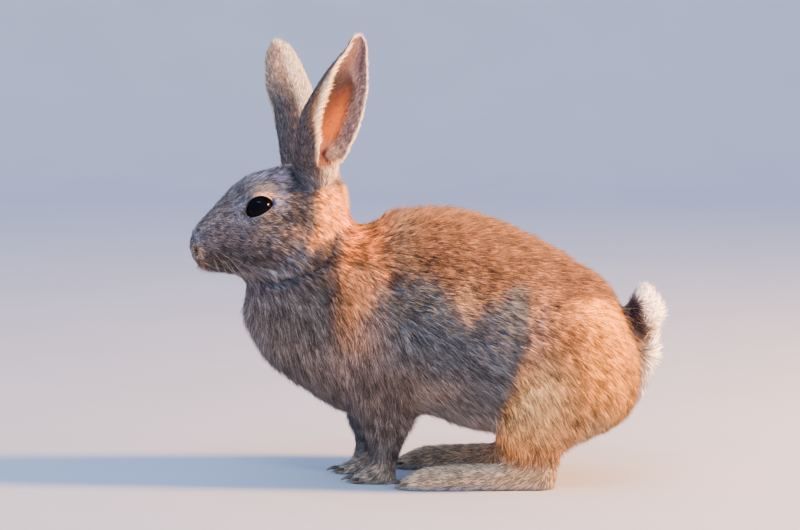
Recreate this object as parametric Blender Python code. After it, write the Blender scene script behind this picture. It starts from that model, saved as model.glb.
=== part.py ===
"""A life-size European rabbit sitting alert, built as one body form and parted with thin cuts.

World frame: metres, +Z up, floor at Z = 0. The rabbit faces -X, and its left side is at -Y.
Every profile below is a list of Slice: two outline points of the body in the XZ plane, the half
width across Y, and how far the slice is fuller low down. All lengths in the tables are millimetres.
"""

import math
from collections import namedtuple

import bmesh
import bpy
import numpy as np
from mathutils import Matrix, Vector

MM = 0.001

# Driving sizes, in millimetres and degrees.
CUT_GAP = 0.4  # width of the thin cuts that part the body
FIT_GAP = 0.3  # clearance round what is set into or onto the body
FORM_VOXEL = 2.4
FORM_SMOOTHING = 7
FORM_TRIANGLES = 3450
RING_POINTS = 28
RINGS_PER_SPAN = 4

HEAD_TURN_DEG = 9.0  # nose towards the rabbit's left
HEAD_PIVOT = (-54.0, 0.0, 150.0)

EYE_RADIUS = 8.8
EYE_CENTRE = (-95.6, -13.4, 156.4)  # left eye before the head turns; the right one mirrors it
ORBIT_RADII = (12.6, 9.7, 10.8)  # the lids and the fur on them, round the eye's centre
EYE_OPENING = (8.3, 6.1)  # half length and half height between the lids
EYE_TILT_DEG = 24.0  # the front corner sits lower
EYE_FORWARD_DEG = 12.0  # the eyes look a little ahead and up
EYE_UP_DEG = 8.0
# How the opening widens outwards, as (distance from the eye's centre, share of the opening's size).
EYE_OPENING_REACH = ((1.0, 0.72), (5.0, 0.86), (9.0, 1.05), (16.0, 1.5))

FORELEG_SPREAD = 17.0  # centre of a foreleg from the middle plane
HIND_FOOT_SPREAD = 37.0
RIGHT_FORELEG_LEAD = -9.0  # the right foreleg stands ahead of the left one
RIGHT_HIND_FOOT_LEAD = -3.0

TAIL_VOXEL = 2.6
TAIL_TRIANGLES = 320

Slice = namedtuple("Slice", "ax az bx bz half_width low y", defaults=(0.0, 0.0))

TRUNK = (
    Slice(120, 76, 121, 48, 20),
    Slice(115, 89, 114, 35, 35, 0.05),
    Slice(103, 113, 98, 26.5, 45, 0.12),
    Slice(81.5, 128.2, 78, 25, 51, 0.16),
    Slice(60, 140.3, 57, 25, 53, 0.18),
    Slice(40, 149.2, 37, 26.5, 52, 0.2),
    Slice(20, 155.2, 20, 30.5, 49, 0.2),
    Slice(3, 156.8, 0, 36.5, 46, 0.16),
    Slice(-14, 154.5, -22, 37.5, 43, 0.08),
    Slice(-27, 150, -47, 38.5, 39.5),
    Slice(-36.5, 146.5, -70, 51.5, 36),
    Slice(-41.5, 150.5, -91, 68, 32),
    Slice(-45, 160.5, -102.5, 88, 28),
    Slice(-50, 170, -105, 104, 24.5),
    Slice(-62, 171, -100, 118, 19),
)

HEAD = (
    Slice(-134.2, 138.5, -134.0, 131.0, 4.2),
    Slice(-132.4, 143.2, -131.8, 125.6, 9.6, 0.06),
    Slice(-127.2, 150.2, -126.0, 121.4, 13.0, 0.16),
    Slice(-118.4, 159.8, -116.0, 119.4, 15.6, 0.24),
    Slice(-109.7, 170.0, -106.0, 116.0, 18.2, 0.26),
    Slice(-99.8, 176.3, -95.6, 113.0, 20.8, 0.24),
    Slice(-88.8, 178.9, -81.4, 113.6, 23.4, 0.2),
    Slice(-77, 180.6, -68.2, 118.6, 24.8, 0.14),
    Slice(-64.4, 180.0, -57, 126.5, 23.6, 0.06),
    Slice(-54.2, 175.6, -48.5, 136, 19.4),
    Slice(-47.5, 166, -45, 147, 11.5),
)

SHOULDER = (
    Slice(-34, 124, -14, 130, 6, 0, 21),
    Slice(-46, 102, 2, 114, 15, 0, 27),
    Slice(-49, 78, 2, 86, 17.5, 0, 27),
    Slice(-47, 54, -4, 60, 14.5, 0, 23),
    Slice(-42, 38, -8, 40, 10, 0, 19),
)

FORELEG = (
    Slice(-46, 62, -4, 60, 13, 0, 2),
    Slice(-41, 44, -5, 43, 12, 0, 1),
    Slice(-36.4, 30, -8.2, 30, 10.4),
    Slice(-32.6, 18.6, -12.6, 18.6, 8.8),
    Slice(-31.6, 11.5, -15.6, 9, 8.4),
    Slice(-35.0, 8.8, -18, -2.5, 8.8),
    Slice(-38.5, 6.2, -31, -3, 7.6),
    Slice(-41.0, 2.6, -37.5, -2.2, 4.4),
)

THIGH = (
    Slice(62, 107, 84, 109, 8, 0, 35),
    Slice(52, 95, 98, 99, 15.5, 0, 36),
    Slice(49.5, 77, 109, 79, 20, 0, 36),
    Slice(46.5, 58, 112, 57, 21.5, 0, 36.5),
    Slice(40.5, 42, 108, 40, 21, 0, 36.5),
    Slice(36, 30, 94, 30, 17, 0, 36.5),
    Slice(40, 23, 80, 24, 11, 0, 36.5),
)

SHANK = (
    Slice(39, 42, 88, 44, 14, 0, 36.5),
    Slice(40, 30, 80, 31, 12.5, 0, 36.5),
    Slice(44, 18, 76.5, 19, 11, 0, 37),
    Slice(50, 5, 74, 5, 8.5, 0, 37),
)

HIND_FOOT = (
    Slice(75.5, 10, 72.5, 2.5, 5.0),
    Slice(70.5, 17.6, 68.5, -2.5, 8.8),
    Slice(59, 17.6, 58, -3, 9.8),
    Slice(42, 15.6, 42, -3, 10.2),
    Slice(20, 14.6, 20, -3, 11.0),
    Slice(3, 13.4, 3, -3, 11.8),
    Slice(-6, 10.4, -6, -2.8, 10.8),
    Slice(-12, 6, -11.5, -1.6, 7),
)

TAIL = (
    Slice(116, 47, 124, 46, 4.5),
    Slice(116, 58, 128, 53, 8),
    Slice(115, 74, 132, 70, 11.5),
    Slice(113, 90, 134, 87, 13),
    Slice(113.0, 101, 133.8, 99, 12),
    Slice(117.5, 108.5, 131.5, 107.6, 8),
    Slice(123, 112.6, 128, 112.4, 3.5),
)

# Toes of a foot: (x of the toe's middle, sideways from the foot's middle, radius, length).
FORE_TOES = (
    (-36.5, -5.4, 3.0, 8.0),
    (-39.0, -1.9, 3.2, 9.0),
    (-39.0, 1.9, 3.2, 9.0),
    (-36.5, 5.4, 3.0, 8.0),
)
HIND_TOES = (
    (-6.0, -7.4, 3.7, 12.0),
    (-10.5, -2.5, 4.0, 13.0),
    (-10.5, 2.5, 4.0, 13.0),
    (-6.0, 7.4, 3.7, 12.0),
)
FORE_CLAW = 4.5  # length of a claw clear of its toe
HIND_CLAW = 5.5
CLAW_RADIUS = 1.05

Ear = namedtuple("Ear", "spine opening_deg half_width depth front_wrap back_wrap thickness")

# The spine runs up the middle of the ear's back, from inside the skull to the tip. The opening angle
# is measured from the rabbit's own left, -Y, round towards its tail, +X. The wraps say how far the
# front and back margins curl round the oval section, in degrees from the spine.
LEFT_EAR = Ear(
    spine=(
        (-64, -5, 164),
        (-67.4, -6.5, 182),
        (-62.8, -11, 196),
        (-57, -16, 210),
        (-47.8, -23.5, 228),
        (-40.6, -27.3, 243),
        (-38.7, -29.0, 249.6),
        (-38.6, -29.8, 252.4),
    ),
    opening_deg=36,
    half_width=(8.0, 12.4, 17.0, 19.6, 16.0, 8.2, 5.2, 2.4),
    depth=(8.0, 11.0, 11.5, 11.0, 8.4, 4.8, 2.8, 1.2),
    front_wrap=(165, 162, 148, 134, 116, 86, 76, 70),
    back_wrap=(160, 108, 92, 82, 74, 72, 70, 70),
    thickness=2.4,
)
RIGHT_EAR = Ear(
    spine=(
        (-66, 5, 164),
        (-69.2, 7, 182),
        (-69.6, 11.5, 197),
        (-72.4, 17, 212),
        (-77.6, 24, 226),
        (-83.2, 28, 243),
        (-85.4, 29.5, 249.6),
    ),
    opening_deg=200,
    half_width=(8.0, 9.0, 11.0, 12.4, 12.4, 8.4, 2.6),
    depth=(8.0, 8.5, 9.5, 9.0, 7.5, 4.0, 1.2),
    front_wrap=(165, 130, 108, 92, 86, 76, 70),
    back_wrap=(160, 130, 108, 92, 86, 76, 70),
    thickness=2.4,
)
# Where the ears rise from the skull, on the straight head: (x, y, z, radius, height).
EAR_ROOTS = ((-60.0, -11.0, 167.0, 11.5, 12.5), (-62.0, 11.0, 167.0, 11.5, 13.5))
EAR_RINGS_PER_SPAN = 2
EAR_ARC_POINTS = 10
EAR_TIP_WALL_SHARE = 0.45  # the wall's thickness over the half width, where the ear is narrow
EAR_FLOOR_Z = (174.0, 188.0)  # the root is solid below the first height and hollow above the second

# Curved or straight thin cuts, as profile points that run right through the body.
HEAD_CUT = ((-34, 162), (-45.5, 147), (-54, 131), (-68, 117.5), (-88, 110.5), (-110, 106.5))
NECK_CUT = ((-22, 162), (-104, 62))
CUT_REACH = 90.0  # half length of a cut sheet across Y
FORELEG_CUT_Z = 33.0
FOREPAW_CUT_Z = 13.5
HOCK_CUT_Z = 18.4
THIGH_CUT = (
    (34, HOCK_CUT_Z),
    (35, 34),
    (41.5, 50),
    (46.5, 68),
    (56, 90),
    (71, 105),
    (90, 109.5),
    (110, 100),
    (124, 78),
    (130, 50),
    (130, HOCK_CUT_Z),
)
THIGH_CUT_DEPTH = 22.0  # from the middle plane, inside of the shank

FUR_COLOURS = {
    "head": (0.42, 0.34, 0.28),
    "neck": (0.45, 0.32, 0.22),
    "trunk": (0.40, 0.29, 0.21),
    "tail": (0.82, 0.78, 0.74),
    "ear": (0.44, 0.36, 0.31),
    "leg": (0.40, 0.31, 0.25),
    "foot": (0.46, 0.36, 0.29),
}
EYE_COLOUR = (0.012, 0.008, 0.006)


def clear_scene():
    """Removes whatever the startup file put in the scene."""
    for obj in list(bpy.data.objects):
        bpy.data.objects.remove(obj, do_unlink=True)


def smooth_between(rows, steps):
    """Catmull-Rom rows through the given rows, with the given steps from each to the next."""
    table = np.array(rows, float)
    padded = np.vstack([2 * table[0] - table[1], table, 2 * table[-1] - table[-2]])
    out = []
    for i in range(1, len(padded) - 2):
        p0, p1, p2, p3 = padded[i - 1 : i + 3]
        for k in range(steps):
            t = k / steps
            out.append(
                0.5
                * (
                    2 * p1
                    + (p2 - p0) * t
                    + (2 * p0 - 5 * p1 + 4 * p2 - p3) * t**2
                    + (3 * p1 - p0 - 3 * p2 + p3) * t**3
                )
            )
    out.append(table[-1])
    return np.array(out)


def mesh_from_rings(name, rings):
    """A closed mesh from equal rings of points, joined in order, with a fan at each end."""
    bm = bmesh.new()
    loops = [[bm.verts.new(Vector(p) * MM) for p in ring] for ring in rings]
    count = len(loops[0])
    for lower, upper in zip(loops, loops[1:]):
        for k in range(count):
            bm.faces.new((lower[k], lower[(k + 1) % count], upper[(k + 1) % count], upper[k]))
    for loop in (loops[0], loops[-1]):
        centre = bm.verts.new(sum((v.co for v in loop), Vector()) / count)
        for k in range(count):
            bm.faces.new((loop[k], loop[(k + 1) % count], centre))
    bmesh.ops.recalc_face_normals(bm, faces=bm.faces)
    mesh = bpy.data.meshes.new(name)
    bm.to_mesh(mesh)
    bm.free()
    return mesh


def loft(name, slices, side=1.0, lead=0.0, spread=0.0):
    """A closed mesh through profile slices. side -1 puts it on the rabbit's left, at -Y."""
    angles = [math.tau * k / RING_POINTS for k in range(RING_POINTS)]
    rings = []
    for ax, az, bx, bz, half_width, low, y in smooth_between(slices, RINGS_PER_SPAN):
        middle = np.array([(ax + bx) / 2 + lead, side * (spread + y), (az + bz) / 2])
        up = np.array([(ax - bx) / 2, 0.0, (az - bz) / 2])
        ring = []
        for a in angles:
            across = half_width * math.sin(a) * (1 - low * math.cos(a))
            ring.append(middle + up * math.cos(a) + np.array([0.0, across, 0.0]))
        rings.append(ring)
    return mesh_from_rings(name, rings)


def toe_mesh(name, x, y, radius, length, side, spread, lead):
    """A blunt toe lying on the floor, rounded at its front."""
    reach = (0.0, 0.35, 0.7, 0.9, 1.0)
    girth = (0.85, 1.0, 0.95, 0.7, 0.25)
    rings = []
    for share, size in zip(reach, girth):
        r = radius * size
        rings.append(
            [
                (
                    x + length * (0.5 - share) + lead,
                    side * spread + y + r * math.cos(math.tau * k / 12),
                    radius * 0.7 + r * math.sin(math.tau * k / 12),
                )
                for k in range(12)
            ]
        )
    return mesh_from_rings(name, rings)


def turned_with_head(point):
    """A point of the straight head, carried to where the turned head holds it."""
    turn = Matrix.Rotation(math.radians(HEAD_TURN_DEG), 4, "Z")
    pivot = Vector(HEAD_PIVOT)
    return turn @ (Vector(point) - pivot) + pivot


def turn_head(mesh):
    """Turns a mesh of the straight head about the pivot in the neck."""
    for v in mesh.vertices:
        v.co = turned_with_head(v.co / MM) * MM
    return mesh


def object_of(name, mesh):
    """Links a new object that shows the mesh."""
    obj = bpy.data.objects.new(name, mesh)
    bpy.context.scene.collection.objects.link(obj)
    return obj


def joined(name, meshes):
    """One object that holds all these meshes, as separate shells."""
    bm = bmesh.new()
    for mesh in meshes:
        bm.from_mesh(mesh)
    mesh = bpy.data.meshes.new(name)
    bm.to_mesh(mesh)
    bm.free()
    return object_of(name, mesh)


def baked(obj):
    """Applies all of the object's modifiers."""
    graph = bpy.context.evaluated_depsgraph_get()
    mesh = bpy.data.meshes.new_from_object(obj.evaluated_get(graph))
    obj.modifiers.clear()
    obj.data = mesh
    return obj


def fuse(obj, voxel, smoothing, triangles):
    """Melts overlapping shells into one skin, softens it and thins its triangles."""
    remesh = obj.modifiers.new("fuse", "REMESH")
    remesh.mode = "VOXEL"
    remesh.voxel_size = voxel * MM
    soften = obj.modifiers.new("soften", "SMOOTH")
    soften.factor = 0.5
    soften.iterations = smoothing
    baked(obj)
    triangulate = obj.modifiers.new("triangulate", "TRIANGULATE")
    triangulate.min_vertices = 4
    baked(obj)
    thin = obj.modifiers.new("thin", "DECIMATE")
    thin.ratio = min(1.0, triangles / len(obj.data.polygons))
    return baked(obj)


def cut_flat(obj):
    """Cuts the object off at the floor, so that the soles are flat."""
    bm = bmesh.new()
    bm.from_mesh(obj.data)
    everything = bm.verts[:] + bm.edges[:] + bm.faces[:]
    bmesh.ops.bisect_plane(bm, geom=everything, plane_co=(0, 0, 0), plane_no=(0, 0, 1), clear_inner=True)
    rim = [e for e in bm.edges if e.is_boundary]
    bmesh.ops.holes_fill(bm, edges=rim, sides=0)
    bmesh.ops.triangulate(bm, faces=bm.faces[:])
    bmesh.ops.recalc_face_normals(bm, faces=bm.faces)
    bm.to_mesh(obj.data)
    bm.free()


def swollen(obj, by):
    """A copy of the object's mesh with its surface moved out, as a hidden cutter."""
    mesh = obj.data.copy()
    normals = [Vector(n.vector) for n in obj.data.vertex_normals]
    for v, normal in zip(mesh.vertices, normals):
        v.co += normal * by * MM
    copy = object_of(obj.name + "_swollen", mesh)
    return hidden(copy)


def hidden(obj):
    """Marks an object as a cutter or guide that isn't part of the rabbit."""
    obj.hide_render = True
    obj.display_type = "WIRE"
    return obj


def boolean(obj, other, operation="DIFFERENCE"):
    """Cuts or joins the object with another and applies the result."""
    step = obj.modifiers.new("boolean", "BOOLEAN")
    step.operation = operation
    step.object = other
    return baked(obj)


def islands(mesh):
    """The separate closed bodies of a mesh, each as (centre, size, mesh)."""
    bm = bmesh.new()
    bm.from_mesh(mesh)
    bm.verts.ensure_lookup_table()
    owner = {}
    groups = []
    for seed in bm.verts:
        if seed in owner:
            continue
        group, todo = [], [seed]
        owner[seed] = len(groups)
        while todo:
            v = todo.pop()
            group.append(v)
            for e in v.link_edges:
                w = e.other_vert(v)
                if w not in owner:
                    owner[w] = len(groups)
                    todo.append(w)
        groups.append(group)
    found = []
    for group in groups:
        index = {v: k for k, v in enumerate(group)}
        faces = {f for v in group for f in v.link_faces}
        ordered = sorted(faces, key=lambda f: f.index)
        part = bpy.data.meshes.new("island")
        part.from_pydata([v.co for v in group], [], [[index[v] for v in f.verts] for f in ordered])
        centre = sum((v.co for v in group), Vector()) / len(group)
        found.append((centre, len(faces), part))
    bm.free()
    return found


def cut_sheet(name, profile):
    """A thin sheet through the whole width of the body, from profile points in XZ."""
    line = smooth_between(profile, 3) if len(profile) > 2 else np.array(profile, float)
    half = CUT_GAP / 2
    edge = np.gradient(line, axis=0)
    normal = np.stack([-edge[:, 1], edge[:, 0]], axis=1)
    normal /= np.linalg.norm(normal, axis=1)[:, None]
    outline = list(line + normal * half) + list((line - normal * half)[::-1])
    bm = bmesh.new()
    face = bm.faces.new([bm.verts.new(Vector((x, -CUT_REACH, z)) * MM) for x, z in outline])
    grown = bmesh.ops.extrude_face_region(bm, geom=[face])["geom"]
    for v in (g for g in grown if isinstance(g, bmesh.types.BMVert)):
        v.co.y = CUT_REACH * MM
    bmesh.ops.recalc_face_normals(bm, faces=bm.faces)
    mesh = bpy.data.meshes.new(name)
    bm.to_mesh(mesh)
    bm.free()
    return hidden(object_of(name, mesh))


def cut_slab(name, x, y, z):
    """A thin level slab, for a leg. x and y are its (lowest, highest) reach."""
    bm = bmesh.new()
    bmesh.ops.create_cube(bm, size=1.0)
    scale = Vector((x[1] - x[0], y[1] - y[0], CUT_GAP)) * MM
    middle = Vector(((x[0] + x[1]) / 2, (y[0] + y[1]) / 2, z)) * MM
    for v in bm.verts:
        v.co = Vector(a * b for a, b in zip(v.co, scale)) + middle
    mesh = bpy.data.meshes.new(name)
    bm.to_mesh(mesh)
    bm.free()
    return hidden(object_of(name, mesh))


def thigh_cup(name, side):
    """A thin-walled cup open outwards, which parts a thigh and its shank from trunk and foot."""
    lining = smooth_between(THIGH_CUT, 2)
    edge = np.roll(lining, -1, axis=0) - np.roll(lining, 1, axis=0)
    outwards = np.stack([-edge[:, 1], edge[:, 0]], axis=1)
    outwards /= np.linalg.norm(outwards, axis=1)[:, None]
    wall = lining + outwards * CUT_GAP
    wall[[0, -1], 1] = HOCK_CUT_Z - CUT_GAP
    count = len(lining)
    inner, outer = THIGH_CUT_DEPTH, CUT_REACH
    rows = ((wall, outer), (wall, inner - CUT_GAP), (lining, inner), (lining, outer))
    bm = bmesh.new()
    loops = [[bm.verts.new(Vector((x, side * y, z)) * MM) for x, z in outline] for outline, y in rows]
    for a, b in ((0, 1), (2, 3), (3, 0)):
        for k in range(count):
            n = (k + 1) % count
            bm.faces.new((loops[a][k], loops[a][n], loops[b][n], loops[b][k]))
    bm.faces.new(loops[1])
    bm.faces.new(loops[2])
    bmesh.ops.recalc_face_normals(bm, faces=bm.faces)
    mesh = bpy.data.meshes.new(name)
    bm.to_mesh(mesh)
    bm.free()
    return hidden(object_of(name, mesh))


def oval_point(middle, axes, radii, degrees, inwards):
    """A point of an oval section at an angle from its back, moved in along the oval's normal."""
    across, away = math.sin(math.radians(degrees)), -math.cos(math.radians(degrees))
    normal = axes[0] * across / radii[0] + axes[1] * away / radii[1]
    normal /= np.linalg.norm(normal)
    return middle + axes[0] * radii[0] * across + axes[1] * radii[1] * away - normal * inwards


def ear_mesh(name, ear):
    """A leaf-shaped scoop, rolled nearly to a tube low down and solid at its root."""
    columns = [ear.half_width, ear.depth, ear.front_wrap, ear.back_wrap]
    rows = np.column_stack([np.array(ear.spine), *[np.array(c) for c in columns]])
    dense = smooth_between(rows, EAR_RINGS_PER_SPAN)
    spine = dense[:, :3]
    run = np.gradient(spine, axis=0)
    run /= np.linalg.norm(run, axis=1)[:, None]
    turn = math.radians(ear.opening_deg)
    facing = np.array([math.sin(turn), -math.cos(turn), 0.0])
    steps = np.linspace(0.0, 1.0, EAR_ARC_POINTS)
    floor_low, floor_high = EAR_FLOOR_Z
    rings = []
    for k, (half_width, depth, front, back) in enumerate(dense[:, 3:]):
        out = facing - run[k] * (facing @ run[k])
        out /= np.linalg.norm(out)
        aside = np.cross(run[k], out)
        aside *= math.copysign(1.0, aside[0])  # towards the tail
        section = (spine[k] + out * depth, (aside, out), (half_width, depth))
        wall = min(ear.thickness, half_width * EAR_TIP_WALL_SHARE) / 2
        hollow = min(1.0, max(0.0, (spine[k][2] - floor_low) / (floor_high - floor_low)))
        outside = [oval_point(*section, -front + (front + back) * t, -wall) for t in steps]
        inside = [oval_point(*section, -front + (front + back) * t, wall) for t in steps]
        closed = [oval_point(*section, -front - (360 - front - back) * t, -wall) for t in steps]
        lining = [c * (1 - hollow) + i * hollow for c, i in zip(closed, inside)]
        rings.append(outside + lining[::-1])
    return mesh_from_rings(name, rings)


def sphere_mesh(name, centre, radius, segments=16, rings=10):
    """A ball, for an eye or its socket."""
    bm = bmesh.new()
    bmesh.ops.create_uvsphere(bm, u_segments=segments, v_segments=rings, radius=radius * MM)
    to_side = Matrix.Rotation(math.radians(90), 4, "X")
    bmesh.ops.transform(bm, matrix=Matrix.Translation(Vector(centre) * MM) @ to_side, verts=bm.verts)
    mesh = bpy.data.meshes.new(name)
    bm.to_mesh(mesh)
    bm.free()
    return mesh


def claw_mesh(name, x, y, z, length):
    """A claw: a curved cone that starts inside its toe and dips towards the floor."""
    steps = 4
    rings = []
    for k in range(steps):
        share = k / (steps - 1)
        radius = CLAW_RADIUS * (1 - 0.78 * share)
        centre = (x - (length + 3.0) * share, y, z + 0.9 * math.sin(math.pi * share) - 1.0 * share)
        rings.append(
            [
                (
                    centre[0],
                    centre[1] + radius * math.cos(math.tau * j / 6),
                    centre[2] + radius * math.sin(math.tau * j / 6),
                )
                for j in range(6)
            ]
        )
    return mesh_from_rings(name, rings)


def ball_mesh(name, centre, radii):
    """An ellipsoid with its axes along X, Y and Z."""
    bm = bmesh.new()
    bmesh.ops.create_icosphere(bm, subdivisions=3, radius=MM)
    for v in bm.verts:
        v.co = Vector(a * b for a, b in zip(v.co, radii)) + Vector(centre) * MM
    mesh = bpy.data.meshes.new(name)
    bm.to_mesh(mesh)
    bm.free()
    return mesh


def eye_opening_mesh(name, side):
    """An almond-shaped plug from the eye's centre outwards, which opens the lids."""
    x, y, z = EYE_CENTRE
    eye = Vector((x, -side * y, z))
    ahead, above = math.radians(EYE_FORWARD_DEG), math.radians(EYE_UP_DEG)
    look = Vector((-math.sin(ahead), side, math.sin(above))).normalized()
    back = Vector((1, 0, 0))
    back = (back - look * back.dot(look)).normalized()
    up = look.cross(back) * -side
    tilt = math.radians(EYE_TILT_DEG)
    long_axis = back * math.cos(tilt) + up * math.sin(tilt)
    short_axis = up * math.cos(tilt) - back * math.sin(tilt)
    half_length, half_height = EYE_OPENING
    corner_reach = 0.16  # how far the front corner is drawn out
    rings = []
    for reach, grow in EYE_OPENING_REACH:
        ring = []
        for k in range(24):
            a = math.tau * k / 24
            length = half_length * (1 + corner_reach * max(0.0, -math.cos(a)) ** 6)
            almond = long_axis * length * math.cos(a) + short_axis * half_height * math.sin(a)
            ring.append(eye + look * reach + almond * grow)
        rings.append(ring)
    return mesh_from_rings(name, rings)


def leads(side):
    """How far ahead the foreleg and the hind foot of a side stand, in millimetres along X."""
    return (RIGHT_FORELEG_LEAD, RIGHT_HIND_FOOT_LEAD) if side > 0 else (0.0, 0.0)


def body_form():
    """Head, neck, trunk and legs as one soft closed form with flat soles."""
    shells = [loft("trunk", TRUNK), turn_head(loft("head", HEAD))]
    for x, y, z, radius, height in EAR_ROOTS:
        shells.append(turn_head(ball_mesh("ear_root", (x, y, z), (radius, radius, height))))
    for side in (-1, 1):
        x, y, z = EYE_CENTRE
        shells.append(turn_head(ball_mesh("orbit", (x, -side * y, z), ORBIT_RADII)))
        fore, hind = leads(side)
        shells.append(loft("shoulder", SHOULDER, side, fore / 2))
        shells.append(loft("foreleg", FORELEG, side, fore, FORELEG_SPREAD))
        shells.append(loft("thigh", THIGH, side))
        shells.append(loft("shank", SHANK, side))
        shells.append(loft("hind_foot", HIND_FOOT, side, hind, HIND_FOOT_SPREAD))
        shells += [toe_mesh("toe", *toe, side, FORELEG_SPREAD, fore) for toe in FORE_TOES]
        shells += [toe_mesh("toe", *toe, side, HIND_FOOT_SPREAD, hind) for toe in HIND_TOES]
    form = joined("body_form", shells)
    fuse(form, FORM_VOXEL, FORM_SMOOTHING, FORM_TRIANGLES)
    cut_flat(form)
    return form


# Where each parted piece has its middle, in millimetres: the nearest name is its own.
ANCHORS = {
    "head": (-90, -5, 148),
    "neck": (-76, 0, 112),
    "trunk": (30, 0, 90),
    "foreleg_left": (-24, -17, 23),
    "foreleg_right": (-38, 17, 23),
    "forepaw_left": (-33, -17, 6),
    "forepaw_right": (-47, 17, 6),
    "thigh_left": (85, -45, 60),
    "thigh_right": (85, 45, 60),
    "hind_foot_left": (30, -37, 8),
    "hind_foot_right": (27, 37, 8),
}


def part_body(form):
    """Cuts the form with the thin sheets, slabs and cups, and names each piece."""
    cutters = [cut_sheet("head_cut", HEAD_CUT), cut_sheet("neck_cut", NECK_CUT)]
    for side, word in ((-1, "left"), (1, "right")):
        y = sorted((side * 1.0, side * 75.0))
        cutters.append(thigh_cup("thigh_cut_" + word, side))
        cutters.append(cut_slab("foreleg_cut_" + word, (-75, 8), y, FORELEG_CUT_Z))
        cutters.append(cut_slab("forepaw_cut_" + word, (-75, 8), y, FOREPAW_CUT_Z))
    for cutter in cutters:
        boolean(form, cutter)
    parts = {}
    for centre, size, mesh in islands(form.data):
        name = min(ANCHORS, key=lambda n: (Vector(ANCHORS[n]) * MM - centre).length)
        if name not in parts or parts[name][0] < size:
            parts[name] = (size, mesh)
    bpy.data.objects.remove(form, do_unlink=True)
    return {name: object_of(name, mesh) for name, (_, mesh) in parts.items()}


def add_claws(parts):
    """Grows the claws from the toes of every foot."""
    for side, word in ((-1, "left"), (1, "right")):
        fore, hind = leads(side)
        feet = (
            ("forepaw_", FORE_TOES, FORE_CLAW, FORELEG_SPREAD, fore),
            ("hind_foot_", HIND_TOES, HIND_CLAW, HIND_FOOT_SPREAD, hind),
        )
        for kind, toes, length, spread, lead in feet:
            for x, y, radius, toe_length in toes:
                start = x - toe_length / 2 + 3.0 + lead
                claw = claw_mesh("claw", start, side * spread + y, radius * 0.85, length)
                cutter = hidden(object_of("claw_form", claw))
                boolean(parts[kind + word], cutter, "UNION")
                bpy.data.objects.remove(cutter, do_unlink=True)


def largest_island(obj):
    """Keeps only the largest closed body of an object."""
    found = sorted(islands(obj.data), key=lambda row: row[1])
    obj.data = found[-1][2]
    return obj


def finish(obj, colour, roughness=0.75):
    """Gives a piece its material and smooth shading."""
    material = bpy.data.materials.new(obj.name)
    material.use_nodes = True
    shader = material.node_tree.nodes["Principled BSDF"]
    shader.inputs["Base Color"].default_value = (*colour, 1.0)
    shader.inputs["Roughness"].default_value = roughness
    shader.inputs["Metallic"].default_value = 0.0
    obj.data.materials.clear()
    obj.data.materials.append(material)
    obj.data.shade_smooth()
    obj.data.set_sharp_from_angle(angle=math.radians(50))


def build():
    """Builds every piece of the rabbit."""
    clear_scene()
    form = body_form()
    clearance = swollen(form, FIT_GAP)
    parts = part_body(form)
    for word, side in (("left", 1), ("right", -1)):
        x, y, z = EYE_CENTRE
        centre = turned_with_head((x, y * side, z))
        socket = hidden(object_of("socket", sphere_mesh("socket", centre, EYE_RADIUS + FIT_GAP)))
        lids = hidden(object_of("lids", turn_head(eye_opening_mesh("lids", -side))))
        for cutter in (socket, lids):
            boolean(parts["head"], cutter)
            bpy.data.objects.remove(cutter, do_unlink=True)
        parts["eye_" + word] = object_of("eye_" + word, sphere_mesh("eye", centre, EYE_RADIUS))
    for word, ear in (("left", LEFT_EAR), ("right", RIGHT_EAR)):
        piece = object_of("ear_" + word, ear_mesh("ear_" + word, ear))
        boolean(piece, clearance)
        parts["ear_" + word] = largest_island(piece)
    tail = joined("tail", [loft("tail", TAIL)])
    fuse(tail, TAIL_VOXEL, 3, TAIL_TRIANGLES)
    boolean(tail, clearance)
    parts["tail"] = largest_island(tail)
    add_claws(parts)
    for name, obj in parts.items():
        kind = name.split("_")[0]
        if kind == "eye":
            finish(obj, EYE_COLOUR, 0.08)
        elif kind in ("foreleg", "thigh"):
            finish(obj, FUR_COLOURS["leg"])
        elif kind in ("forepaw", "hind"):
            finish(obj, FUR_COLOURS["foot"])
        else:
            finish(obj, FUR_COLOURS[kind])
    for obj in [o for o in bpy.data.objects if o.hide_render]:
        bpy.data.objects.remove(obj, do_unlink=True)


build()
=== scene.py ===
"""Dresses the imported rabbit: one skin, its coat of tufts, eyes with lids, claws and whiskers.

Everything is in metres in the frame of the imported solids: +Z up, the nose towards -X, the rabbit's
left side towards -Y. The solids give the outline of the coat. The skin is drawn in from them and lies
inside them, apart from small spots where it stands out by up to 1.3 mm. The coat's tones hold a low
warm sun from behind and its cool shade, besides the colours of the hair itself.
"""

import logging
import math
from collections.abc import Callable
from dataclasses import dataclass, field
from enum import Enum

import bmesh
import bpy
import numpy as np
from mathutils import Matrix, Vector
from mathutils.bvhtree import BVHTree

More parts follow.
